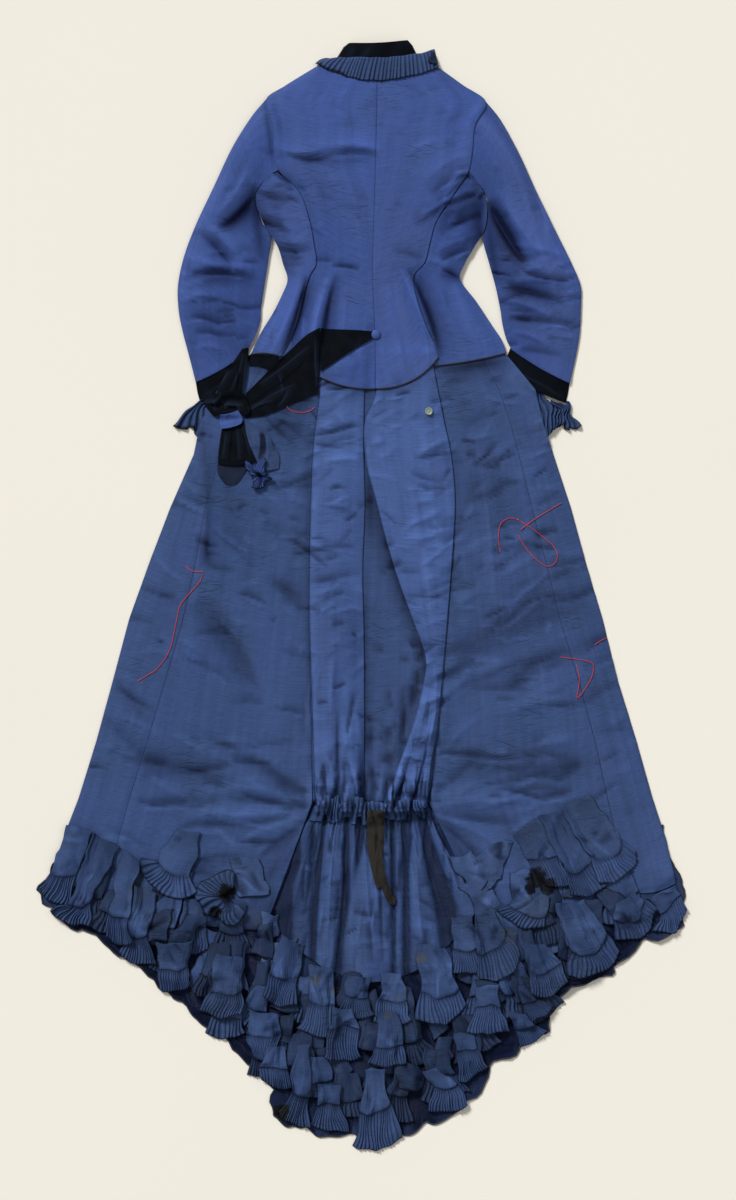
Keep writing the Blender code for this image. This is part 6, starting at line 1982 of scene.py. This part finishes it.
class DRESS_OT_flounce(bpy.types.Operator):
    """Hangs the frilled tabs of the flounce over each other"""

    bl_idname = "bustle_dress.flounce"
    bl_label = "Flounce tabs"

    def execute(self, context):
        made = dress()
        hung = dict(nodes=(), edging=(0.12, 0.12, 0, 0.15), creases=made.crumple["tab"], held="hung")
        for name, x0, y0, x1, y1, x2, y2, x3, y3, bow in FLAPS:
            made.sheet(
                f"{name}_silk", ((x0, y0, x1, y1, 0.0), (x2, y2, x3, y3, bow)), "frill silk", bulge=0.4, wear=0.3,
                rumple=(0.4, int(x0) + 80), **hung,
            )
        made.lay()
        for place, (kind, sizes) in enumerate(lower_tabs()):
            if kind == "tab":
                # two in three of the lower tabs take the half-bright copy of the frill silk: painted shade in the
                # flounce's lower layer
                silk = "shaded and dark frill silk" if place % 3 else "frill silk"
                made.tab(f"lower_tab_{place}_silk", sizes, (), 300 + place, 9, silk)
            else:
                # lower flaps in the half-bright copy, with painted shade that steps deeper from flap to flap
                made.sheet(
                    f"lower_flap_{place}_silk", (sizes[0:4] + (0.0,), sizes[4:9]), "shaded and dark frill silk", bulge=0.5,
                    rumple=(0.45, place), shade_and_tone=0.12 * (place % 4), **hung,
                )
                made.lay()
        for place, (name, *sizes) in enumerate(SMALL_TABS):
            made.tab(f"{name}_silk", tuple(sizes), (), 60 + place)
        for place, (name, *sizes) in enumerate(TABS):
            if name == "tab_left_5":
                made.rosette(f"{name}_silk", (-24.6, -53.2), 0.5, (3.2, 4.0, 4.8, 5.6, 5.2), 60, 320, (name,), 77)
            else:
                made.tab(f"{name}_silk", tuple(sizes), (name,), 100 + place)
        return {"FINISHED"}


class DRESS_OT_sleeves(bpy.types.Operator):
    """Lays the upper sleeves"""

    bl_idname = "bustle_dress.sleeves"
    bl_label = "Sleeves"

    def execute(self, context):
        made = dress()
        for side, rows in (("left", SLEEVE_LEFT), ("right", SLEEVE_RIGHT)):
            made.sheet(
                f"sleeve_{side}_upper_silk", rows, "blue silk", mound=BODY_MOUND, dome=(2.4, 0.8),
                creases=SLEEVE_CREASES + made.crumple["sleeve"], nodes=(f"sleeve_{side}_upper",), seams=(0, 0, 0, 0.12),
                rests_on=(f"cuff_{side}_velvet",), shadows=SLEEVE_SHADOWS,
            )
        made.lay()
        return {"FINISHED"}


class DRESS_OT_bodice(bpy.types.Operator):
    """Lays the bodice's back with its pleated tail, and the collar frill"""

    bl_idname = "bustle_dress.bodice"
    bl_label = "Bodice back"

    def execute(self, context):
        made = dress()
        creases = BODICE_CREASES + made.crumple["bodice"]
        for layer in (
            (("bodice_side_back_right", SIDE_BACK_RIGHT, (0.1, 0.0, 0.1, 0)),),
            (
                ("bodice_back_left", BODICE_BACK_LEFT, (0.08, 0.03, 0.1, 0)),
                ("bodice_back_right", BODICE_BACK_RIGHT, (0.03, 0.08, 0.1, 0)),
            ),
            (("bodice_side_back_left", SIDE_BACK_LEFT, (0.0, 0.1, 0.1, 0)),),
        ):
            for name, rows, seams in layer:
                made.sheet(
                    f"{name}_silk", rows, "blue silk", mound=BODY_MOUND, creases=creases, seams=seams, nodes=(name,),
                    seam_width=0.25, shadows=BODICE_SHADOWS,
                )
            made.lay()
        made.sheet(
            "collar_frill_silk", COLLAR_FRILL, "frill silk", nodes=("collar_frill",), pleats=(30, 0.1, 0.24, 3, 0.85),
            edging=(0, 0, 0, 0.2), held="gathered", rounds=4, rests_on=("collar_stand_velvet",), rumple=(0.12, 4),
        )
        made.lay()
        # the frill's turned corner shows its darker underside in the half-bright copy of the frill silk, with a painted
        # shadow
        made.sheet(
            "collar_frill_turned_silk", COLLAR_TURN, "shaded and dark frill silk", 0.002, nodes=(), held="folded", rounds=2,
            edging=(0, 0.1, 0, 0.2), shadows=((12.6, 98.2, 12.4, 95.4, 2.0, 0.8, 0.0),),
            rests_on=("collar_frill_silk",),
        )
        made.lay()
        return {"FINISHED"}


class DRESS_OT_sash(bpy.types.Operator):
    """Ties the velvet sash and its silk end"""

    bl_idname = "bustle_dress.sash"
    bl_label = "Sash"

    def execute(self, context):
        made = dress()
        for layer in (
            (
                ("sash_side_velvet", SASH_SIDE, "velvet", (), dict(lift=0.05, wear=0.0)),
                # the sash's silk end is a darker silk, darkened evenly through the shade mask
                ("sash_end_silk", SASH_END, "shaded and dark frill silk", (), dict(shade_and_tone=0.7)),
            ),
            (
                ("sash_band_velvet", SASH_BAND, "velvet", ("sash_band",), dict(dome=(0.2, 0.6), lift=0.1)),
                # the fan is darkened evenly, with painted shadows along its folds
                ("sash_fan_silk", SASH_FAN, "frill silk", ("sash_fan",), dict(
                    lift=0.1, bulge=0.15, shade_and_tone=0.25,
                    shadows=((-18.2, 30.2, -17.6, 25.4, 0.35, 0.7, 0.2), (-16.7, 29.6, -15.9, 25.8, 0.3, 0.6, 0.2)),
                )),
            ),
            (("sash_point_velvet", SASH_POINT, "velvet", ("sash_point",), dict(lift=0.1)),),
            (
                ("sash_loop_velvet", SASH_LOOP, "velvet", ("sash_loop",), dict(lift=0.35, bulge=0.3)),
                ("sash_tail_velvet", SASH_TAIL, "velvet", ("sash_tail",), dict(lift=0.1, bulge=0.15)),
            ),
            (("sash_knot_velvet", SASH_KNOT, "velvet", ("sash_knot",), dict(lift=0.3, bulge=0.4, rumple=(0.25, 5))),),
            (("sash_keeper_silk", SASH_KEEPER, "blue silk", ("sash_keeper",), dict(lift=0.2, bulge=0.2)),),
        ):
            for name, rows, material, nodes, looks in layer:
                made.sheet(name, rows, material, 0.002, nodes=nodes, creases=SASH_CREASES, held="folded", **looks)
            made.lay()
        made.rosette(
            "sash_fan_end_silk", (-18.5, 22.0), 0.1, (1.7, 3.0, 1.6, 2.8, 1.5, 2.4, 3.3, 1.7, 3.0, 1.7), 20, 378, (),
            91, 26, "blue silk", ("sash_fan_silk",),
        )
        return {"FINISHED"}


# shares of the radius and of the height, from the middle of the top round to the middle of the foot
RIMMED_BUTTON = (
    (0.0, 0.5), (0.3, 0.48), (0.45, 0.4), (0.6, 0.45), (0.78, 0.8), (0.9, 0.85), (1.0, 0.55), (0.95, 0.1), (0.7, 0.0),
    (0.0, 0.0),
)
DOMED_BUTTON = (
    (0.0, 1.0), (0.3, 0.96), (0.55, 0.85), (0.75, 0.66), (0.9, 0.42), (1.0, 0.18), (0.96, 0.05), (0.8, 0.0),
    (0.0, 0.0),
)
BUTTON_SIDES = 40


def turned_button(name, centre, radius, height, profile):
    """A button turned round its middle. Sizes in centimetres."""
    made = dress()
    x, y = centre[0] * CM, centre[1] * CM
    seat = made.pile.under(np.array([[[x, y]]]), 2).max()
    turns = np.linspace(0, 2 * np.pi, BUTTON_SIDES, endpoint=False)
    points = [(x, y, seat + profile[0][1] * height * CM)]
    for part, level in profile[1:-1]:
        points += [
            (x + part * radius * CM * np.cos(t), y + part * radius * CM * np.sin(t), seat + level * height * CM)
            for t in turns
        ]
    points.append((x, y, seat))
    last = len(points) - 1
    around = [(i, (i + 1) % BUTTON_SIDES) for i in range(BUTTON_SIDES)]
    faces = [(0, 1 + i, 1 + after) for i, after in around]
    for ring in range(len(profile) - 3):
        upper = 1 + BUTTON_SIDES * ring
        lower = upper + BUTTON_SIDES
        faces += [(upper + i, lower + i, lower + after, upper + after) for i, after in around]
    faces += [(last, last - BUTTON_SIDES + after, last - BUTTON_SIDES + i) for i, after in around]
    mesh = bpy.data.meshes.new(name)
    mesh.from_pydata(points, [], faces)
    mesh.polygons.foreach_set("use_smooth", [True] * len(mesh.polygons))
    return mesh


class DRESS_OT_buttons(bpy.types.Operator):
    """Sews on the covered button of the tail and the small button of the skirt"""

    bl_idname = "bustle_dress.buttons"
    bl_label = "Buttons"

    def execute(self, context):
        made = dress()
        for name, centre, radius, height, profile, material, slot, node in (
            ("tail_button_silk", (2.4, 47.0), 0.9, 0.45, DOMED_BUTTON, "blue silk", "covered_button", "tail_button"),
            ("skirt_button_horn", (11.9, 33.2), 0.7, 0.35, RIMMED_BUTTON, "horn", "metal_button", "skirt_button"),
        ):
            obj = made.add(name, turned_button(name, centre, radius, height, profile), material)
            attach(obj, "root")
            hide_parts(node)
        return {"FINISHED"}


def photo_path(*pixels):
    return [centimetres(px, py) for px, py in pixels]


LOOSE_THREADS = (
    photo_path((287, 407), (291, 411), (300, 413), (309, 412), (315, 408)),
    photo_path((186, 566), (192, 571), (203, 572)),
    photo_path(
        (203, 574), (200, 582), (193, 590), (186, 598), (180, 607), (176, 625), (170, 650), (158, 668), (148, 675),
        (138, 681),
    ),
    photo_path(
        (500, 552), (498, 538), (500, 525), (507, 519), (515, 519), (526, 525), (540, 535), (552, 545), (557, 555),
        (554, 564), (545, 566), (532, 556), (522, 543), (518, 535),
    ),
    photo_path((520, 530), (535, 519), (561, 503)),
    photo_path((560, 657), (575, 659), (590, 662), (593, 667), (590, 680), (577, 698), (579, 680), (576, 664)),
    photo_path((594, 645), (600, 641), (606, 638)),
)


class DRESS_OT_edges(bpy.types.Operator):
    """Binds the hem and the bodice's edges"""

    bl_idname = "bustle_dress.edges"
    bl_label = "Bound edges"

    def execute(self, context):
        made = dress()
        base = made.grids["train_base_silk"]
        hem = np.concatenate([base[:, 0], base[-1, 1:-1], base[::-1, -1]])
        hem[:, 2] = np.maximum(hem[:, 2], made.sizes.binding * HEM_HEIGHT)
        made.lines("hem_binding", [hem], "tube", "binding", Radius=made.sizes.binding * HEM_RADIUS, Sides=8)
        tails = [
            made.grids[f"{name}_silk"][-1, 1:-1]
            for name in ("bodice_back_left", "bodice_back_right", "bodice_side_back_left", "bodice_side_back_right")
        ]
        made.lines("tail_binding", tails, "tube", "binding", Radius=made.sizes.binding, Sides=8)
        return {"FINISHED"}


class DRESS_OT_threads(bpy.types.Operator):
    """Leaves the loose red basting threads on the skirt, and the stitches of the sleeve seams"""

    bl_idname = "bustle_dress.threads"
    bl_label = "Threads"

    def execute(self, context):
        made = dress()
        loose = [made.resting(path, LOOSE_HEIGHT) for path in LOOSE_THREADS]
        made.lines("basting_threads", loose, "tube", "red thread", Radius=LOOSE_RADIUS, Sides=6)
        seams = [
            made.grids[name][3:-3, column] + [0, 0, STITCH_HEIGHT]
            for name, column in (("sleeve_left_upper_silk", 4), ("sleeve_right_upper_silk", -5))
        ]
        made.lines(
            "sleeve_seam_stitches", seams, "stitches", "silk thread", Spacing=STITCH_SPACING,
            Length=made.sizes.stitch, Radius=made.sizes.thread,
        )
        return {"FINISHED"}


PIECES = (
    DRESS_OT_stage,
    DRESS_OT_under_side,
    DRESS_OT_cuffs,
    DRESS_OT_collar_stand,
    DRESS_OT_skirt,
    DRESS_OT_train,
    DRESS_OT_flounce,
    DRESS_OT_sleeves,
    DRESS_OT_bodice,
    DRESS_OT_sash,
    DRESS_OT_buttons,
    DRESS_OT_edges,
    DRESS_OT_threads,
)


class DRESS_PT_sidebar(bpy.types.Panel):
    """Sizes, colours and pieces of the dress"""

    bl_idname = "DRESS_PT_sidebar"
    bl_label = "Bustle dress"
    bl_space_type = "VIEW_3D"
    bl_region_type = "UI"
    bl_category = "Bustle dress"

    def draw(self, context):
        for group in (context.scene.dress_sizes, context.scene.dress_colours):
            for name in group.bl_rna.properties.keys():
                if name not in ("rna_type", "name"):
                    self.layout.prop(group, name)
        for piece in PIECES:
            self.layout.operator(piece.bl_idname)


CLASSES = (DressSizes, DressColours, *PIECES, DRESS_PT_sidebar)


def register():
    for made in CLASSES:
        bpy.utils.register_class(made)
    bpy.types.Scene.dress_sizes = bpy.props.PointerProperty(type=DressSizes)
    bpy.types.Scene.dress_colours = bpy.props.PointerProperty(type=DressColours)


def unregister():
    del bpy.types.Scene.dress_colours
    del bpy.types.Scene.dress_sizes
    for made in reversed(CLASSES):
        bpy.utils.unregister_class(made)


def main():
    register()
    for piece in PIECES:
        getattr(bpy.ops.bustle_dress, piece.bl_idname.split(".")[1])()


if __name__ == "__main__":
    main()
